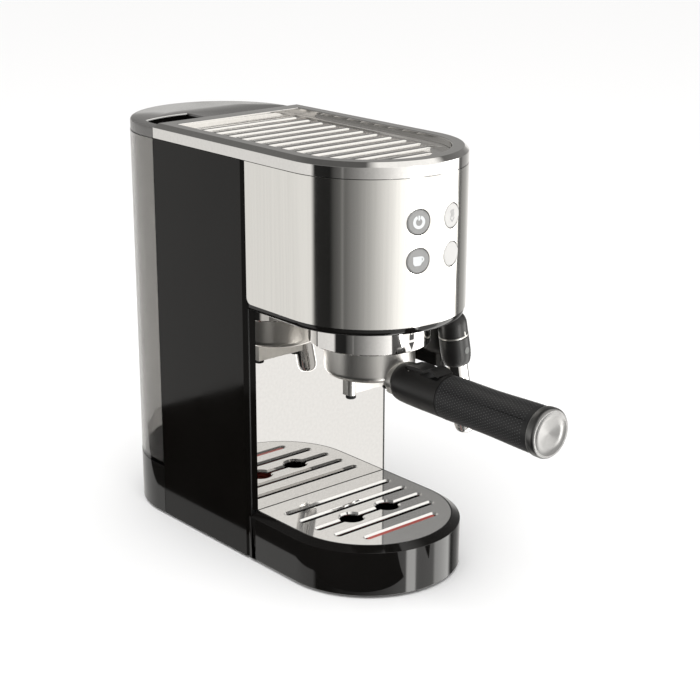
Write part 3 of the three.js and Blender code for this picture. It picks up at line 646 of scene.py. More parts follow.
def make_lid_recess_shade_and_highlight():
    """The lid recess's dark lining as painted shade, its rolled lip in pale plastic as a painted highlight, and
    a dark block at its right end.
    """
    floor_z = lid_low.z + 1.7 * MM
    inner = recess_outline(-0.1 * MM)
    thin = recess_outline(-0.9 * MM)
    brim_z = lid_high.z - 0.7 * MM
    # painted shade: a gloss black lining inside the smoky recess stands for the recess's shade
    shade_lining = stack("lid_recess_painted_shade", [(inner, floor_z), (inner, brim_z), (thin, brim_z), (thin, floor_z + 0.8 * MM)])
    soften(shade_lining, 0, angle=30)
    dress(shade_lining, "tank_lid", "smoke_lid", "gloss_black")
    path = recess_far_edge(-0.4 * MM)
    # painted highlight: the lip's bead is pale plastic to stand for the highlight on its rounded edge
    lip = tube("lid_lip_painted_highlight", [(x, y, lid_high.z - 0.75 * MM) for x, y in path], 0.7 * MM)
    soften(lip, 0, angle=60)
    dress(lip, "tank_lid", "smoke_lid", "button_pale")
    right = RECESS_RIGHT
    post_far = 160 * MM
    post_low = (right - 4.6 * MM, RECESS_NEAR + 1 * MM, floor_z)
    post = box("lid_post", post_low, (right - 0.5 * MM, post_far, lid_high.z - 0.2 * MM))
    soften(post, 0.5, 3, 30)
    dress(post, "tank_lid", "smoke_lid", "gloss_black")


def tube(name, path, radius, sides=10):
    """A round bead along a flat path."""
    vertices, faces = [], []
    for i, centre in enumerate(path):
        before = Vector(path[max(i - 1, 0)])
        after = Vector(path[min(i + 1, len(path) - 1)])
        along = (after - before).normalized()
        side = along.cross(Vector((0, 0, 1))).normalized()
        for s in range(sides):
            turn = 2 * math.pi * s / sides
            rise = Vector((0, 0, radius * math.sin(turn)))
            vertices.append(Vector(centre) + side * radius * math.cos(turn) + rise)
    for i in range(len(path) - 1):
        for s in range(sides):
            a, b = i * sides + s, i * sides + (s + 1) % sides
            faces.append((a, b, b + sides, a + sides))
    faces.append(tuple(range(sides)))
    faces.append(tuple(reversed(range(len(vertices) - sides, len(vertices)))))
    return new_piece(name, vertices, faces)


# ---- drip tray; the slots as (place along the machine, half length), in millimetres ----
SLOTS = ((0, 52), (-17.8, 52), (-35.6, 52), (-53.4, 48), (-71, 35))
SLOT_HALF = 2.3


def make_tray():
    rear = grid_high.y + GAP
    shoulder = 36 * MM
    seat = grid_high.x + 0.4 * MM
    seat_z = grid_low.z - GAP
    inner = 61.5 * MM
    under = 61.6 * MM
    base_gap = 5.3 * MM
    floor_z = 8 * MM
    wing_inner = 63.8 * MM
    levels = [
        (front_outline(under, rear), base_gap),
        (front_outline(under, rear), tray_low.z),
        (front_outline(RADIUS - 0.6 * MM, rear), tray_low.z),
        (front_outline(RADIUS, rear), tray_low.z + 0.6 * MM),
        (front_outline(RADIUS, rear), shoulder),
        (front_outline(seat + 0.5 * MM, rear), tray_high.z),
        (front_outline(seat, rear), tray_high.z - 0.4 * MM),
        (front_outline(seat, rear), seat_z),
        (front_outline(inner, rear - 2.3 * MM), seat_z),
        (front_outline(inner, rear - 2.3 * MM), floor_z),
    ]
    tray = stack("tray_body", levels)
    wings = []
    for sign in (-1, 1):
        near, far = sorted((sign * wing_inner, sign * RADIUS))
        wings.append(box("wing", (near, rear - 5 * MM, tray_low.z), (far, tray_high.y, shoulder)))
    join(tray, *wings)
    soften(tray, 0.5, 3, 25)
    dress(tray, "drip_tray", "gloss_black", "gloss_black", "drip_tray")


def slot_outline(half_length, half_width, y):
    end = half_length - half_width
    right = arc(half_width, -math.pi / 2, math.pi / 2, (end, y), 12)
    left = arc(half_width, math.pi / 2, 1.5 * math.pi, (-end, y), 12)
    return right + left


def make_grid():
    """The grid plate: each slot and drain sits in a shallow pressed dish."""
    plate = prism("grid_plate", front_outline(grid_high.x, grid_high.y), grid_low.z, grid_high.z)
    above = grid_high.z + SPARE
    below = grid_low.z - SPARE
    depth = 1.5
    dish = 1.2
    bottom = grid_high.z - depth * MM
    wider = dish + dish / depth
    drain_x, drain_radius = 17.8, 9
    outlines = []
    for y, half in SLOTS:
        narrow = slot_outline(half * MM, SLOT_HALF * MM, y * MM)
        outlines.append((narrow, slot_outline((half + wider) * MM, (SLOT_HALF + wider) * MM, y * MM)))
    for sign in (-1, 1):
        centre = (sign * drain_x * MM, SLOTS[2][0] * MM)
        narrow, wide = (arc(radius * MM, 0, 2 * math.pi, centre, 48)[:-1]
                        for radius in (drain_radius, drain_radius + wider))
        outlines.append((narrow, wide))
    cut(plate, *[stack("dish", [(narrow, bottom), (wide, above)]) for narrow, wide in outlines])
    cut(plate, *[prism("hole", narrow, below, above) for narrow, wide in outlines])
    soften(plate, 0.25, 2, 20)
    dress(plate, "drip_grid", "steel", "grid", "drip_grid")


# ---- brewing group and portafilter ----
def make_ring():
    outer = ring_high.x
    inner = outer - 1.8 * MM
    bottom, top = ring_low.z, ring_high.z
    lip = 0.7 * MM
    ring = turned("group_ring_chrome", [
        (inner, bottom + lip), (inner + 0.3 * MM, bottom), (outer - lip, bottom), (outer, bottom + lip),
        (outer, top), (inner, top),
    ], (0, GROUP_Y, 0))
    soften(ring, 0.2, 2, 25)
    dress(ring, "machine", "chrome", "chrome", "group_ring")
    make_lock_mark(outer)


def on_ring(radius, x, z, lift):
    """A point on the group ring's front, x along its surface."""
    turn = x / radius
    return ((radius + lift) * math.sin(turn), GROUP_Y - (radius + lift) * math.cos(turn), z)


def make_lock_mark(radius):
    """A generic lock-here mark: a closed padlock above an arrow head, as a thin print."""
    middle = (ring_low.z + ring_high.z) / 2 - 2.6 * MM
    lift = 0.15 * MM
    shapes = []
    body = points((-2.0, 0.9), (2.0, 0.9), (2.0, 4.7), (-2.0, 4.7))
    arrow = points((-2.5, -1.0), (2.5, -1.0), (0, -6.4))
    bow_centre = (0, 5.7 * MM)
    outer_bow = arc(1.5 * MM, 0, math.pi, bow_centre, 10)
    inner_bow = arc(0.85 * MM, math.pi, 0, bow_centre, 10)
    bow = points((1.5, 4.7)) + outer_bow + points((-1.5, 4.7), (-0.85, 4.7)) + inner_bow + points((0.85, 4.7))
    for outline in (body, arrow, bow):
        front = [on_ring(radius, x, middle + z, lift) for x, z in outline]
        back = [on_ring(radius, x, middle + z, -lift) for x, z in outline]
        count = len(outline)
        faces = [tuple(range(count)), tuple(reversed(range(count, 2 * count)))]
        faces += [(i, count + i, count + (i + 1) % count, (i + 1) % count) for i in range(count)]
        shapes.append(new_piece("mark", front + back, faces))
    merge(shapes, "lock_mark")
    dress(shapes[0], "machine", "matt_black", "mark")


def make_bowl():
    """The bowl and its collar, the boss that meets the handle and the two bayonet lugs."""
    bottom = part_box("spout_block")[1].z + GAP
    radius = 33.5 * MM
    bend = 5.5 * MM
    wall = 1.9 * MM
    foot = radius - bend
    collar = 37.6 * MM
    collar_inner = collar - 2 * MM
    flare = 178.4 * MM
    drain = 4 * MM
    floor_top = 158 * MM
    fillet = [(foot + bend * math.sin(t), bottom + bend * (1 - math.cos(t)))
              for t in [i / 16 * math.pi / 2 for i in range(1, 17)]]
    profile = [(drain, bottom), (foot, bottom)] + fillet + [
        (radius, flare - 1.8 * MM), (collar, flare), (collar, bowl_high.z), (collar_inner, bowl_high.z),
        (collar_inner, flare + 1 * MM), (radius - wall, flare - 1 * MM), (radius - wall, floor_top),
        (drain, floor_top - 1 * MM),
    ]
    bowl = turned("bowl_body", profile, (0, GROUP_Y, 0))
    soften(bowl, 0.6, 3, 30)
    dress(bowl, "portafilter", "steel", "satin_steel", "portafilter_bowl")

    lug_x, lug_half_x, lug_half_y = mm(38.1, 1.5, 10)
    lug_low, lug_high = mm(182, 186)
    lugs = [box("lug", (s * lug_x - lug_half_x, GROUP_Y - lug_half_y, lug_low),
                (s * lug_x + lug_half_x, GROUP_Y + lug_half_y, lug_high)) for s in (-1, 1)]
    merge(lugs, "bowl_lugs")
    soften(lugs[0], 0.3, 2, 30)
    dress(lugs[0], "portafilter", "steel", "satin_steel")

    boss_radius = 12.2 * MM
    boss_start, boss_end = GROUP_Y - 35.7 * MM, GROUP_Y - 29 * MM
    boss = rod("bowl_boss", boss_radius, (0, boss_start, HANDLE_Z), (0, boss_end, HANDLE_Z), 64)
    inside = rod("inside", radius - wall / 2, (0, GROUP_Y, 146 * MM), (0, GROUP_Y, flare + 9 * MM), ROUND)
    cut(boss, inside)
    soften(boss, 0.4, 3, 30)
    dress(boss, "portafilter", "steel", "satin_steel")


def make_spouts():
    """Two round spouts with a flat bridge along their rear side."""
    block_low, block_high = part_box("spout_block")
    top = block_high.z
    tube_low = block_low.z
    spout_x = 18 * MM
    radius = 3.8 * MM
    bore = 2.2 * MM
    hub_radius, hub_low, web_depth, bore_top = mm(9, 147, 4.6, 148)
    web_top = top - 1 * MM
    block = rod("spout_body", hub_radius, (0, GROUP_Y, hub_low), (0, GROUP_Y, top), 64)
    web = box("web", (-spout_x - radius, GROUP_Y, tube_low), (spout_x + radius, GROUP_Y + web_depth, web_top))
    tubes, bores = [], []
    for x in (-spout_x, spout_x):
        tubes.append(rod("tube", radius, (x, GROUP_Y, tube_low), (x, GROUP_Y, web_top), 48))
        bores.append(rod("bore", bore, (x, GROUP_Y, tube_low - SPARE), (x, GROUP_Y, bore_top), 32))
    join(block, web, *tubes)
    cut(block, *bores)
    soften(block, 0.3, 3, 35)
    dress(block, "portafilter", "steel", "satin_steel", "spout_block")
    for side, sign in (("left", -1), ("right", 1)):
        low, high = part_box(f"spout_tip_{side}")
        edge = 0.3 * MM
        profile = [
            (bore, low.z + edge), (bore + edge, low.z), (radius - 0.7 * MM, low.z),
            (radius - 0.2 * MM, low.z + edge), (radius, low.z + 0.8 * MM), (radius, high.z), (bore, high.z),
        ]
        tip = turned(f"tip_{side}", profile, (sign * spout_x, GROUP_Y, 0), 48)
        soften(tip, 0, angle=40)
        dress(tip, "portafilter", "rubber", "rubber", f"spout_tip_{side}")


# ---- handle, measured from the group's axis outwards ----
GRIP_START = 84.6
LEVER_HALF = 7
CAP_START = 171.9
HANDLE_TURN = Matrix.Rotation(math.pi / 2, 4, "X")


def handle_turned(name, profile):
    return turned(name, profile, (0, GROUP_Y, HANDLE_Z), ROUND, HANDLE_TURN)


def handle_slab(name, profile, half):
    """A prism across the handle from (along, up) points in millimetres."""
    outline = [(GROUP_Y - along * MM, HANDLE_Z + up * MM) for along, up in profile]
    return slab(name, outline, -half * MM, half * MM)


def grip_radius(along):
    """The grip narrows a little towards its middle and widens to the cap."""
    knots = ((GRIP_START, 15.6), (120, 15.4), (CAP_START, 16.6))
    for (a, ra), (b, rb) in zip(knots, knots[1:]):
        if along <= b:
            t = (along - a) / (b - a)
            smooth = t * t * (3 - 2 * t)
            return ra + (rb - ra) * smooth
    return knots[-1][1]


def make_nose():
    end = GRIP_START - 0.3
    profile = points(
        (4, 36), (12.0, 36), (12.9, 36.3), (13.7, 37.2), (14.3, 38.8), (14.8, 42), (15.1, 48), (15.4, 62),
        (15.5, end), (12.5, end), (12.5, CAP_START - 0.6), (4, CAP_START - 0.6),
    )
    nose = handle_turned("handle_nose", profile)
    wide = LEVER_HALF + 0.4
    rear = GRIP_START - 3.6
    front = 46
    pocket = handle_slab("pocket", [(front, 13.2), (rear, 13.2), (rear, 25), (front, 25)], wide)
    slot = handle_slab("slot", [(front, 8.6), (54.8, 8.6), (54.8, 14), (front, 14)], wide)
    hollow = handle_slab("hollow", [(62, 14), (65, 9), (rear - 2, 9), (rear, 11), (rear, 14)], wide + 1.6)
    land = handle_slab("land", [(34, 14.5), (39, 14.3), (46.2, 14.6), (46.2, 25), (34, 25)], 20)
    cut(nose, pocket, slot, hollow, land)
    soften(nose, 0.5, 3, 30)
    dress(nose, "portafilter", "matt_black", "satin_black", "handle_core")


def make_grip():
    start, end = GRIP_START, CAP_START - 0.3
    steps = 24
    inner = 12.8
    stations = [start + (end - start) * i / steps for i in range(steps + 1)]
    outer = [(grip_radius(along), along) for along in stations]
    outer[0] = (outer[0][0] - 0.3, start)
    profile = points((inner, start), *outer, (inner, end))
    grip = handle_turned("grip_sleeve", profile)
    line = handle_slab("parting", [(start + 4, 0), (end - 3, 0), (end - 3, 0.5), (start + 4, 0.5)], 20)
    turn = Matrix.Translation((0, 0, HANDLE_Z)) @ Matrix.Rotation(math.radians(35), 4, "Y")
    line.data.transform(turn @ Matrix.Translation((0, 0, -HANDLE_Z)))
    core = handle_turned("core_tool", points((0, 0), (15, 0), (15, 200), (0, 200)))
    cut(line, core)
    cut(grip, line)
    soften(grip, 0.2, 2, 40)
    dress(grip, "portafilter", "grip_rubber", "grip", "handle_grip")
    make_grip_dots(start, end)


def make_grip_dots(start, end):
    """Rows of small raised dots in a diagonal grid round the grip, coloured lighter than the grip as a painted
    highlight.
    """
    around = 44
    pitch = 2.15
    rows = int((end - start - 5) / pitch)
    vertices, faces = [], []
    sides = 6
    dot = 0.34
    for row in range(rows):
        along = start + 2.5 + row * pitch
        radius = grip_radius(along)
        for column in range(around):
            turn = 2 * math.pi * (column + 0.5 * (row % 2)) / around
            out = Vector((math.cos(turn), math.sin(turn), 0))
            across = Vector((-math.sin(turn), math.cos(turn), 0))
            first = len(vertices)
            for level, size in ((-0.15, 1.0), (0.1, 0.85), (0.22, 0.45)):
                for s in range(sides):
                    a = 2 * math.pi * s / sides
                    offset = across * (math.cos(a) * dot * size) + Vector((0, 0, math.sin(a) * dot * size))
                    vertices.append((out * (radius + level) + offset + Vector((0, 0, along))) * MM)
            for ring in range(2):
                for s in range(sides):
                    a = first + ring * sides + s
                    b = first + ring * sides + (s + 1) % sides
                    faces.append((a, b, b + sides, a + sides))
            faces.append(tuple(first + s for s in reversed(range(sides))))
            faces.append(tuple(first + 2 * sides + s for s in range(sides)))
    dots = new_piece("grip_dot_highlights", vertices, faces)
    place(dots, (0, GROUP_Y, HANDLE_Z), HANDLE_TURN)
    dots.data.shade_smooth()
    dress(dots, "portafilter", "grip_rubber", "grip_dot_highlight")


def make_cap():
    radius = cap_high.x / MM
    end = (GROUP_Y - cap_low.y) / MM
    profile = points(
        (0, CAP_START), (radius - 0.8, CAP_START), (radius - 0.2, CAP_START + 0.5), (radius, CAP_START + 1.4),
        (radius, end - 2.2), (radius - 0.25, end - 1.3), (radius - 1.0, end - 0.4), (radius - 1.9, end),
        (radius - 2.6, end - 0.1), (radius - 3.2, end - 0.8), (9, end - 1.6), (2, end - 2.1), (0, end - 2.2),
    )
    cap = turned("cap_disc", profile, (0, GROUP_Y, HANDLE_Z), 128, HANDLE_TURN)
    soften(cap, 0, angle=60)
    dress(cap, "portafilter", "brushed_cap", "spun", "handle_cap")


def make_clip():
    """The filter clip: a flat plate over the nose that dips and curls up into a thumb hook."""
    pivot = (51, 12)
    top = [(47.2, 14.8), (48.4, 15.6), (56, 16.2), (61, 16.0), (63.2, 15.2), (64.8, 15.6), (66.6, 17.0),
           (68.8, 18.0), (71.5, 18.2), (74.5, 17.6), (77.5, 16.6), (80.2, 15.3)]
    under = [(79.6, 13.9), (77, 14.7), (74, 15.7), (71.5, 16.1), (69, 15.9), (67, 15.0), (65, 13.8), (62, 13.4),
             (48, 13.4)]
    clip = handle_slab("clip_tab", top + under, LEVER_HALF)
    barrel_low = (-LEVER_HALF * MM, GROUP_Y - pivot[0] * MM, HANDLE_Z + pivot[1] * MM)
    barrel_high = (LEVER_HALF * MM, *barrel_low[1:])
    barrel = rod("barrel", 2.7 * MM, barrel_low, barrel_high)
    stem = handle_slab("stem", [(48.6, 12), (53.4, 12), (53.4, 15), (48.6, 15)], LEVER_HALF)
    bore = rod("bore", 1.2 * MM, (-9 * MM, *barrel_low[1:]), (9 * MM, *barrel_low[1:]), 24)
    join(clip, barrel, stem)
    cut(clip, bore)
    soften(clip, 0.5, 3, 40)
    dress(clip, "filter_clip", "gloss_black", "satin_black", "filter_clip")


# ---- buttons ----
ICON_THICKNESS = 0.25 * MM


def flat_shape(*pairs):
    return prism("icon", points(*pairs), 0, ICON_THICKNESS)


def ring_shape(outer, inner, start, end, steps=32):
    """Part of a flat ring, its radii in millimetres."""
    outside = arc(outer * MM, start, end, steps=steps)
    inside = arc(inner * MM, end, start, steps=steps)
    return prism("icon", outside + inside, 0, ICON_THICKNESS)


def icon_shapes(name):
    """Generic symbols, drawn about the button's centre with Y up."""
    if name == "button_power":
        gap = math.radians(20)
        top = math.pi / 2
        ring = ring_shape(4.7, 2.5, top + gap, top + 2 * math.pi - gap)
        return [ring, flat_shape((-0.6, 1.2), (0.6, 1.2), (0.6, 4.6), (-0.6, 4.6))]
    if name == "button_coffee":
        cup = flat_shape((-4.2, 3.1), (-4.2, -1.6), (-2.9, -3.4), (1.3, -3.4), (2.6, -1.6), (2.6, 3.1))
        handle = ring_shape(2.1, 1.0, -math.pi / 2, math.pi / 2, 12)
        place(handle, mm(2.4, 0.9, 0))
        return [cup, handle]
    if name == "button_steam":
        waves = []
        for shift in (-1.5, 0, 1.5):
            left = [(shift + 0.4 * math.sin(y * 1.6) - 0.3, y) for y in [i * 0.55 - 1.2 for i in range(11)]]
            right = [(x + 0.6, y) for x, y in reversed(left)]
            waves.append(flat_shape(*(left + right)))
        left = flat_shape((-2.9, -1.6), (-2.0, -1.6), (0, -3.6), (0, -4.6))
        right = flat_shape((2.9, -1.6), (0, -4.6), (0, -3.6), (2.0, -1.6))
        return waves + [left, right]
    return []


def make_buttons():
    face = 0.2 * MM
    for name, (centre, outward) in BUTTONS.items():
        grey = name in ("button_power", "button_coffee")
        r = BUTTON_RADIUS
        profile = [
            (0, -10.8 * MM), (2.5 * MM, -10.8 * MM), (2.5 * MM, -5 * MM), (r, -5 * MM), (r, face - 0.9 * MM),
            (r - 0.35 * MM, face - 0.3 * MM), (r - 0.9 * MM, face), (0, face),
        ]
        turn = outward.to_track_quat("Z", "Y").to_matrix().to_4x4()
        cap = turned(f"{name}_cap", profile, centre, 64, turn)
        soften(cap, 0, angle=25)
        slot = "button_grey" if grey else "button_pale"
        dress(cap, name, slot, slot, name)
        # painted shade: a black rubber ring sunk in the gap round each button stands for the gap's shade
        near, far = r + 0.08 * MM, r + 0.5 * MM
        low, high = mm(-4, -0.75)
        gap_shade_ring = turned(f"{name}_seal", [(near, low), (far, low), (far, high), (near, high)], centre, 64, turn)
        soften(gap_shade_ring, 0, angle=40)
        dress(gap_shade_ring, "machine", "rubber", "rubber")
        shapes = icon_shapes(name)
        if not shapes:
            continue
        merge(shapes, f"{name}_icon")
        side = Vector((0, 0, 1)).cross(outward).normalized()
        basis = Matrix((side, Vector((0, 0, 1)), outward)).transposed().to_4x4()
        place(shapes[0], centre + outward * (face - 0.12 * MM), basis)
        dress(shapes[0], name, "button_pale", "icon" if grey else "icon_grey")


# ---- steam wand, drawn upright about its pivot and then leant outwards ----
SWING = next(j for j in frame["joints"] if j["name"] == "steam_wand_swing")
PULL = next(j for j in frame["joints"] if j["name"] == "froth_sleeve_pull")
PIVOT = Vector(SWING["pos_m"])
LEAN = math.atan2(PULL["axis"][0], -PULL["axis"][2])
WAND_RING_TOP = PIVOT.z - 7.7 * MM
WAND_RING_LOW = PIVOT.z - 9.0 * MM
WAND_LOW = PIVOT.z - 30.8 * MM
FROTH_LOW = PIVOT.z - 87.8 * MM
WAND_FACE = math.radians(-82)


def lean(piece):
    turn = Matrix.Translation(PIVOT) @ Matrix.Rotation(-LEAN, 4, "Y") @ Matrix.Translation(-PIVOT)
    piece.data.transform(turn)
    return piece


def wand_turned(name, profile):
    return lean(turned(name, profile, (PIVOT.x, PIVOT.y, 0), 64))


def make_wand():
    radius = 10.9 * MM
    quarter = [i / 16 * math.pi / 2 for i in range(17)]
    dome = [(radius * math.sin(t), PIVOT.z + radius * math.cos(t)) for t in quarter]
    head = wand_turned("wand_upper", dome + [(radius, WAND_RING_TOP + 0.3 * MM), (0, WAND_RING_TOP + 0.3 * MM)])
    bore = 3.3 * MM
    pin = rod("pin_hole", bore, PIVOT + Vector(mm(0, 5, 0)), PIVOT + Vector(mm(0, 20, 0)))
    hole = rod("tube_hole", bore, PIVOT - Vector(mm(0, 0, 9)), PIVOT + Vector(mm(0, 0, 1)))
    cut(head, pin, lean(hole))
    soften(head, 0.3, 2, 40)
    dress(head, "steam_wand", "matt_black", "satin_black", "wand_head")

    edge = radius + 0.2 * MM
    band = wand_turned("wand_band", [
        (3.4 * MM, WAND_RING_LOW), (edge - 0.3 * MM, WAND_RING_LOW), (edge, WAND_RING_LOW + 0.3 * MM),
        (edge, WAND_RING_TOP - 0.3 * MM), (edge - 0.3 * MM, WAND_RING_TOP), (3.4 * MM, WAND_RING_TOP),
    ])
    soften(band, 0, angle=40)
    dress(band, "steam_wand", "chrome", "satin_steel", "wand_ring")

    sleeve_top = WAND_LOW + 5.2 * MM
    body = wand_turned("wand_lower", [
        (3.4 * MM, WAND_RING_LOW - GAP), *raised(sleeve_top, (3.4, 0.4), (8.1, 0.4)),
        *raised(WAND_LOW, (8.1, 0), (9.2, 0), (9.7, 0.5), (10.3, 2.5), (10.8, 5.5), (11.2, 10)),
        *raised(WAND_RING_LOW, (11.0, -0.6), (10.7, -0.3)),
    ])
    soften(body, 0, angle=40)
    dress(body, "steam_wand", "matt_black", "satin_black", "wand_body")
    make_wand_details()

    outside = ((3.6, 0.4), (4.2, 0), (5.6, 0.5), (6.9, 1.8), (7.7, 3.8), (8.1, 7), (7.9, 31), (7.7, 51))
    inside = ((6.7, 51), (7, 7), (6.4, 4), (3.6, 2))
    froth = wand_turned("froth_tube", raised(FROTH_LOW, *outside) + [
        (7.7 * MM, sleeve_top), (6.7 * MM, sleeve_top),
    ] + raised(FROTH_LOW, *inside))
    soften(froth, 0, angle=50)
    dress(froth, "froth_sleeve", "chrome", "chrome", "froth_sleeve")


def wand_radius(z):
    rise = z - WAND_LOW
    return 11.1 * MM if rise > 9 * MM else (10.4 + 0.75 * rise / (9 * MM)) * MM


def make_wand_details():
    """Columns of small dots round the wand's lower part, a window patch and an index mark."""
    dots = []
    columns, rows = 22, 7
    for c in range(columns):
        turn = 2 * math.pi * c / columns
        out = Vector((math.cos(turn), math.sin(turn), 0))
        away = abs((turn - WAND_FACE + math.pi) % (2 * math.pi) - math.pi)
        if away < math.radians(22):
            continue
        for r in range(rows):
            z = WAND_LOW + (4.5 + r * 2.2) * MM
            base = Vector((PIVOT.x, PIVOT.y, z)) + out * (wand_radius(z) - 0.2 * MM)
            dots.append(rod("dot", 0.4 * MM, base, base + out * 0.32 * MM, 8))
    merge(dots, "wand_dots")
    lean(dots[0])
    dress(dots[0], "steam_wand", "matt_black", "mark")
    out = Vector((math.cos(WAND_FACE), math.sin(WAND_FACE), 0))
    z = WAND_LOW + 11.5 * MM
    base = Vector((PIVOT.x, PIVOT.y, z)) + out * (wand_radius(z) - 0.5 * MM)
    window = rod("wand_window", 2.6 * MM, base, base + out * 0.62 * MM, 32)
    lean(window)
    soften(window, 0.15, 2, 40)
    dress(window, "steam_wand", "matt_black", "window")
    side = Vector((0, 0, 1)).cross(out)
    foot = Vector((PIVOT.x, PIVOT.y, 0)) + out * 10.5 * MM
    corners = [foot + side * s * MM + out * d * MM for s, d in ((-0.4, 0), (0.4, 0), (0.4, 0.55), (-0.4, 0.55))]
    tick = prism("wand_tick", [(c.x, c.y) for c in corners], WAND_RING_TOP, WAND_RING_TOP + 3.4 * MM)
    lean(tick)
    soften(tick, 0, angle=30)
    dress(tick, "steam_wand", "chrome", "satin_steel")


# ---- CAD nodes that stay ----
def keep_nodes():
    looks = {
        "matt_black": ("base_plate", "front_wall", "rear_panel", "top_deck"),
        "gloss_black": ("wand_housing",),
        "rubber": ("foot_front_left", "foot_front_right", "foot_rear_left", "foot_rear_right", "dock_seal",
                   "cord_gland", "group_gasket", "pump_mount_lower", "pump_mount_upper"),
        "mirror": ("splash_plate",),
        "red": ("drip_float",),
        "satin_steel": ("filter_basket", "shower_screen", "screen_screw", "handle_rod", "clip_pin",
                        "steam_tube", "wand_pivot", "valve_spring"),
        "aluminium": ("group_body", "thermoblock"),
        "white": ("tank_valve", "pump", "suction_hose", "pressure_hose"),
        "board": ("control_board",),
        "brass": ("steam_pipe",),
    }
    edges = {"splash_plate": 0.3, "wand_housing": 1.2, "base_plate": 0.5, "drip_float": 0.3}
    for look, names in looks.items():
        for name in names:
            node = NODES[name]
            node.data.materials.clear()
            node.data.materials.append(LOOKS[look])
            soften(node, edges.get(name, 0), 3, 35)


# ---- stage, light, camera ----
def make_stage():
    size = 4.0
    corners = [(-size, -size, 0), (size, -size, 0), (size, size, 0), (-size, size, 0)]
    floor = new_piece("floor", corners, [(0, 1, 2, 3)])
    look = base_look("pale_floor", (0.95, 0.95, 0.95), 0.9)
    look.node_tree.nodes["Principled BSDF"].inputs["Specular IOR Level"].default_value = 0
    floor.data.materials.append(look)
    floor.visible_glossy = False
    make_cards()


def make_cards():
    """Dark cards on the floor that only reflections see: one along the left side, and one wedge in front as a
    painted shadow on the floor that the tray front reflects.
    """
    black = base_look("card_black", (0.002, 0.002, 0.002), 0.9)
    near = [(-0.1, 0.35), (-0.1, -0.04), (-0.02, -0.13), (-0.1, -0.4), (-0.34, -0.3), (-0.4, 0.35)]
    # painted shadow: the front wedge darkens the floor patch that the tray front reflects
    shadow_wedge = [(0.032, -0.142), (0.045, -0.2), (0.09, -0.195)]
    for name, outline in (("side_card", near), ("front_shadow_card", shadow_wedge)):
        card = new_piece(name, [(x, y, 0.0006) for x, y in outline], [tuple(range(len(outline)))])
        card.data.materials.append(black)
        card.visible_camera = False
        card.visible_diffuse = False
        card.visible_transmission = False
        card.visible_shadow = False


# Brightness of the studio walls by compass direction in degrees from +X, anticlockwise.
WALLS = (
    (0, 0.14), (4, 0.28), (14, 0.4), (24, 0.6), (34, 0.85), (60, 0.78), (125, 0.74), (158, 0.8), (163, 0.02),
    (183, 0.015), (188, 0.07), (196, 0.12), (198, 0.24), (200, 0.12), (216, 0.26), (234, 0.5), (252, 0.82),
    (266, 1.15), (277, 1.3), (279, 7.0), (290, 7.0), (292, 1.5), (300, 1.3), (318, 1.3), (322, 3.5), (348, 3.5),
    (352, 1.2), (355, 0.13),
)


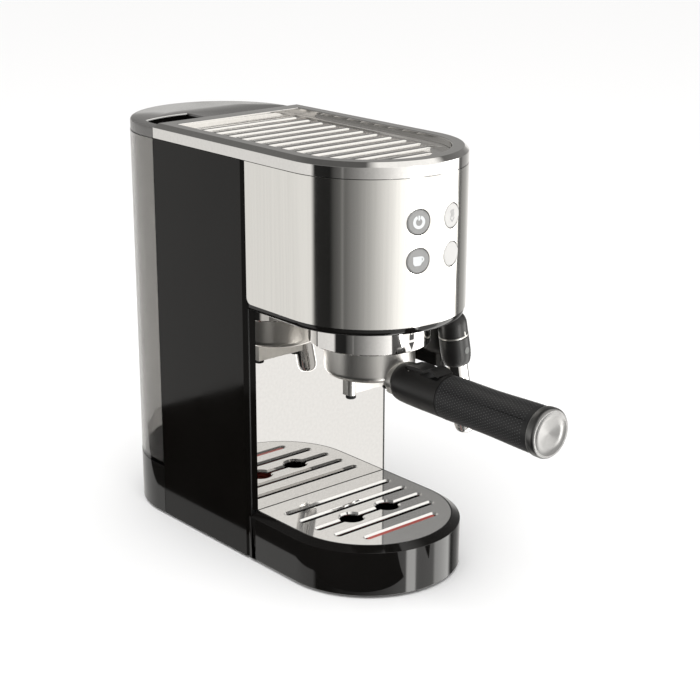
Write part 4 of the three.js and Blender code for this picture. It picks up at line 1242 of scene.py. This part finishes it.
def make_world():
    world = bpy.data.worlds.new("studio")
    bpy.context.scene.world = world
    world.use_nodes = True
    tree = world.node_tree
    tree.nodes.clear()

    def node(kind, **values):
        made = tree.nodes.new(kind)
        for key, value in values.items():
            setattr(made, key, value)
        return made

    def calculate(operation, a, b=None):
        made = node("ShaderNodeMath", operation=operation)
        for socket, value in zip(made.inputs, (a, b)):
            if value is None:
                continue
            if isinstance(value, (int, float)):
                socket.default_value = value
            else:
                tree.links.new(value, socket)
        return made.outputs[0]

    def ramp(fac, stops, scale):
        made = node("ShaderNodeValToRGB")
        elements = made.color_ramp.elements
        for i, (position, value) in enumerate(stops):
            element = elements[i] if i < 2 else elements.new(position)
            element.position = position
            shade = value / scale
            element.color = (shade, shade * 0.988, shade * 0.962, 1)
        tree.links.new(fac, made.inputs["Fac"])
        return made.outputs["Color"]

    def light(color, strength):
        made = node("ShaderNodeBackground")
        made.inputs["Strength"].default_value = strength
        if isinstance(color, tuple):
            made.inputs["Color"].default_value = color
        else:
            tree.links.new(color, made.inputs["Color"])
        return made.outputs[0]

    def mix(fac, first, second):
        made = node("ShaderNodeMixShader")
        tree.links.new(fac, made.inputs["Fac"])
        tree.links.new(first, made.inputs[1])
        tree.links.new(second, made.inputs[2])
        return made.outputs[0]

    direction = node("ShaderNodeTexCoord").outputs["Generated"]
    parts = node("ShaderNodeSeparateXYZ")
    tree.links.new(direction, parts.inputs[0])
    turn = calculate("ARCTAN2", parts.outputs["Y"], parts.outputs["X"])
    turn = calculate("FRACT", calculate("ADD", calculate("DIVIDE", turn, 2 * math.pi), 1.0))
    height = parts.outputs["Z"]

    peak = max(value for _, value in WALLS)
    walls = light(ramp(turn, [(angle / 360, value) for angle, value in WALLS], peak), peak)
    ceiling = light(ramp(height, [(0.12, 0.35), (0.24, 0.22), (0.36, 0.2), (0.8, 0.1)], 1.0), 1.0)
    front = light(ramp(height, [(0.0, 1.15), (0.75, 1.1), (0.97, 1.0)], 1.15), 1.15)
    front_side = ramp(turn, [(0.6, 0.0), (0.72, 1.0), (0.95, 1.0), (0.975, 0.0)], 1.0)
    rise = node("ShaderNodeMapRange", interpolation_type="SMOOTHSTEP")
    rise.inputs["From Min"].default_value = -0.02
    rise.inputs["From Max"].default_value = 0.12
    tree.links.new(height, rise.inputs["Value"])
    upper = mix(front_side, ceiling, front)
    reflected = mix(rise.outputs["Result"], walls, upper)

    soft = light((1, 0.995, 0.99, 1), 1.0)
    plain = light((1, 1, 1, 1), 1.0)
    path = node("ShaderNodeLightPath")
    seen = mix(path.outputs["Is Glossy Ray"], soft, reflected)
    output = node("ShaderNodeOutputWorld")
    tree.links.new(mix(path.outputs["Is Camera Ray"], seen, plain), output.inputs["Surface"])


def make_light():
    light = bpy.data.lights.new("overhead", "AREA")
    light.shape = "DISK"
    light.size = 1.6
    light.energy = 16
    lamp = bpy.data.objects.new("overhead", light)
    lamp.location = (-0.5, -0.5, 1.9)
    lamp.rotation_mode = "QUATERNION"
    lamp.rotation_quaternion = (lamp.location - Vector((0, 0, 0.15))).to_track_quat("Z", "Y")
    lamp.visible_glossy = False
    bpy.context.scene.collection.objects.link(lamp)


def make_camera():
    azimuth, elevation = math.radians(-40.31), math.radians(18.15)
    distance = 1.2307
    aim = Vector((0, 0.004, 0.15))
    back = Vector((math.sin(azimuth) * math.cos(elevation), -math.cos(azimuth) * math.cos(elevation),
                   math.sin(elevation)))
    data = bpy.data.cameras.new("camera")
    data.sensor_width = 36
    data.lens = 84.3
    data.shift_x = 0.0207
    data.shift_y = 0.0135
    camera = bpy.data.objects.new("camera", data)
    camera.location = aim + back * distance
    camera.rotation_mode = "QUATERNION"
    camera.rotation_quaternion = (-back).to_track_quat("-Z", "Y")
    bpy.context.scene.collection.objects.link(camera)
    bpy.context.scene.camera = camera


make_camera()
make_stage()
make_world()
make_light()
bpy.context.scene.view_settings.view_transform = "Standard"
make_shell()
make_rim()
make_shelf()
make_side_covers()
make_head_base()
make_dock()
make_tank()
make_lid()
make_tray()
make_grid()
make_ring()
make_bowl()
make_spouts()
make_nose()
make_grip()
make_cap()
make_clip()
make_buttons()
make_wand()
keep_nodes()
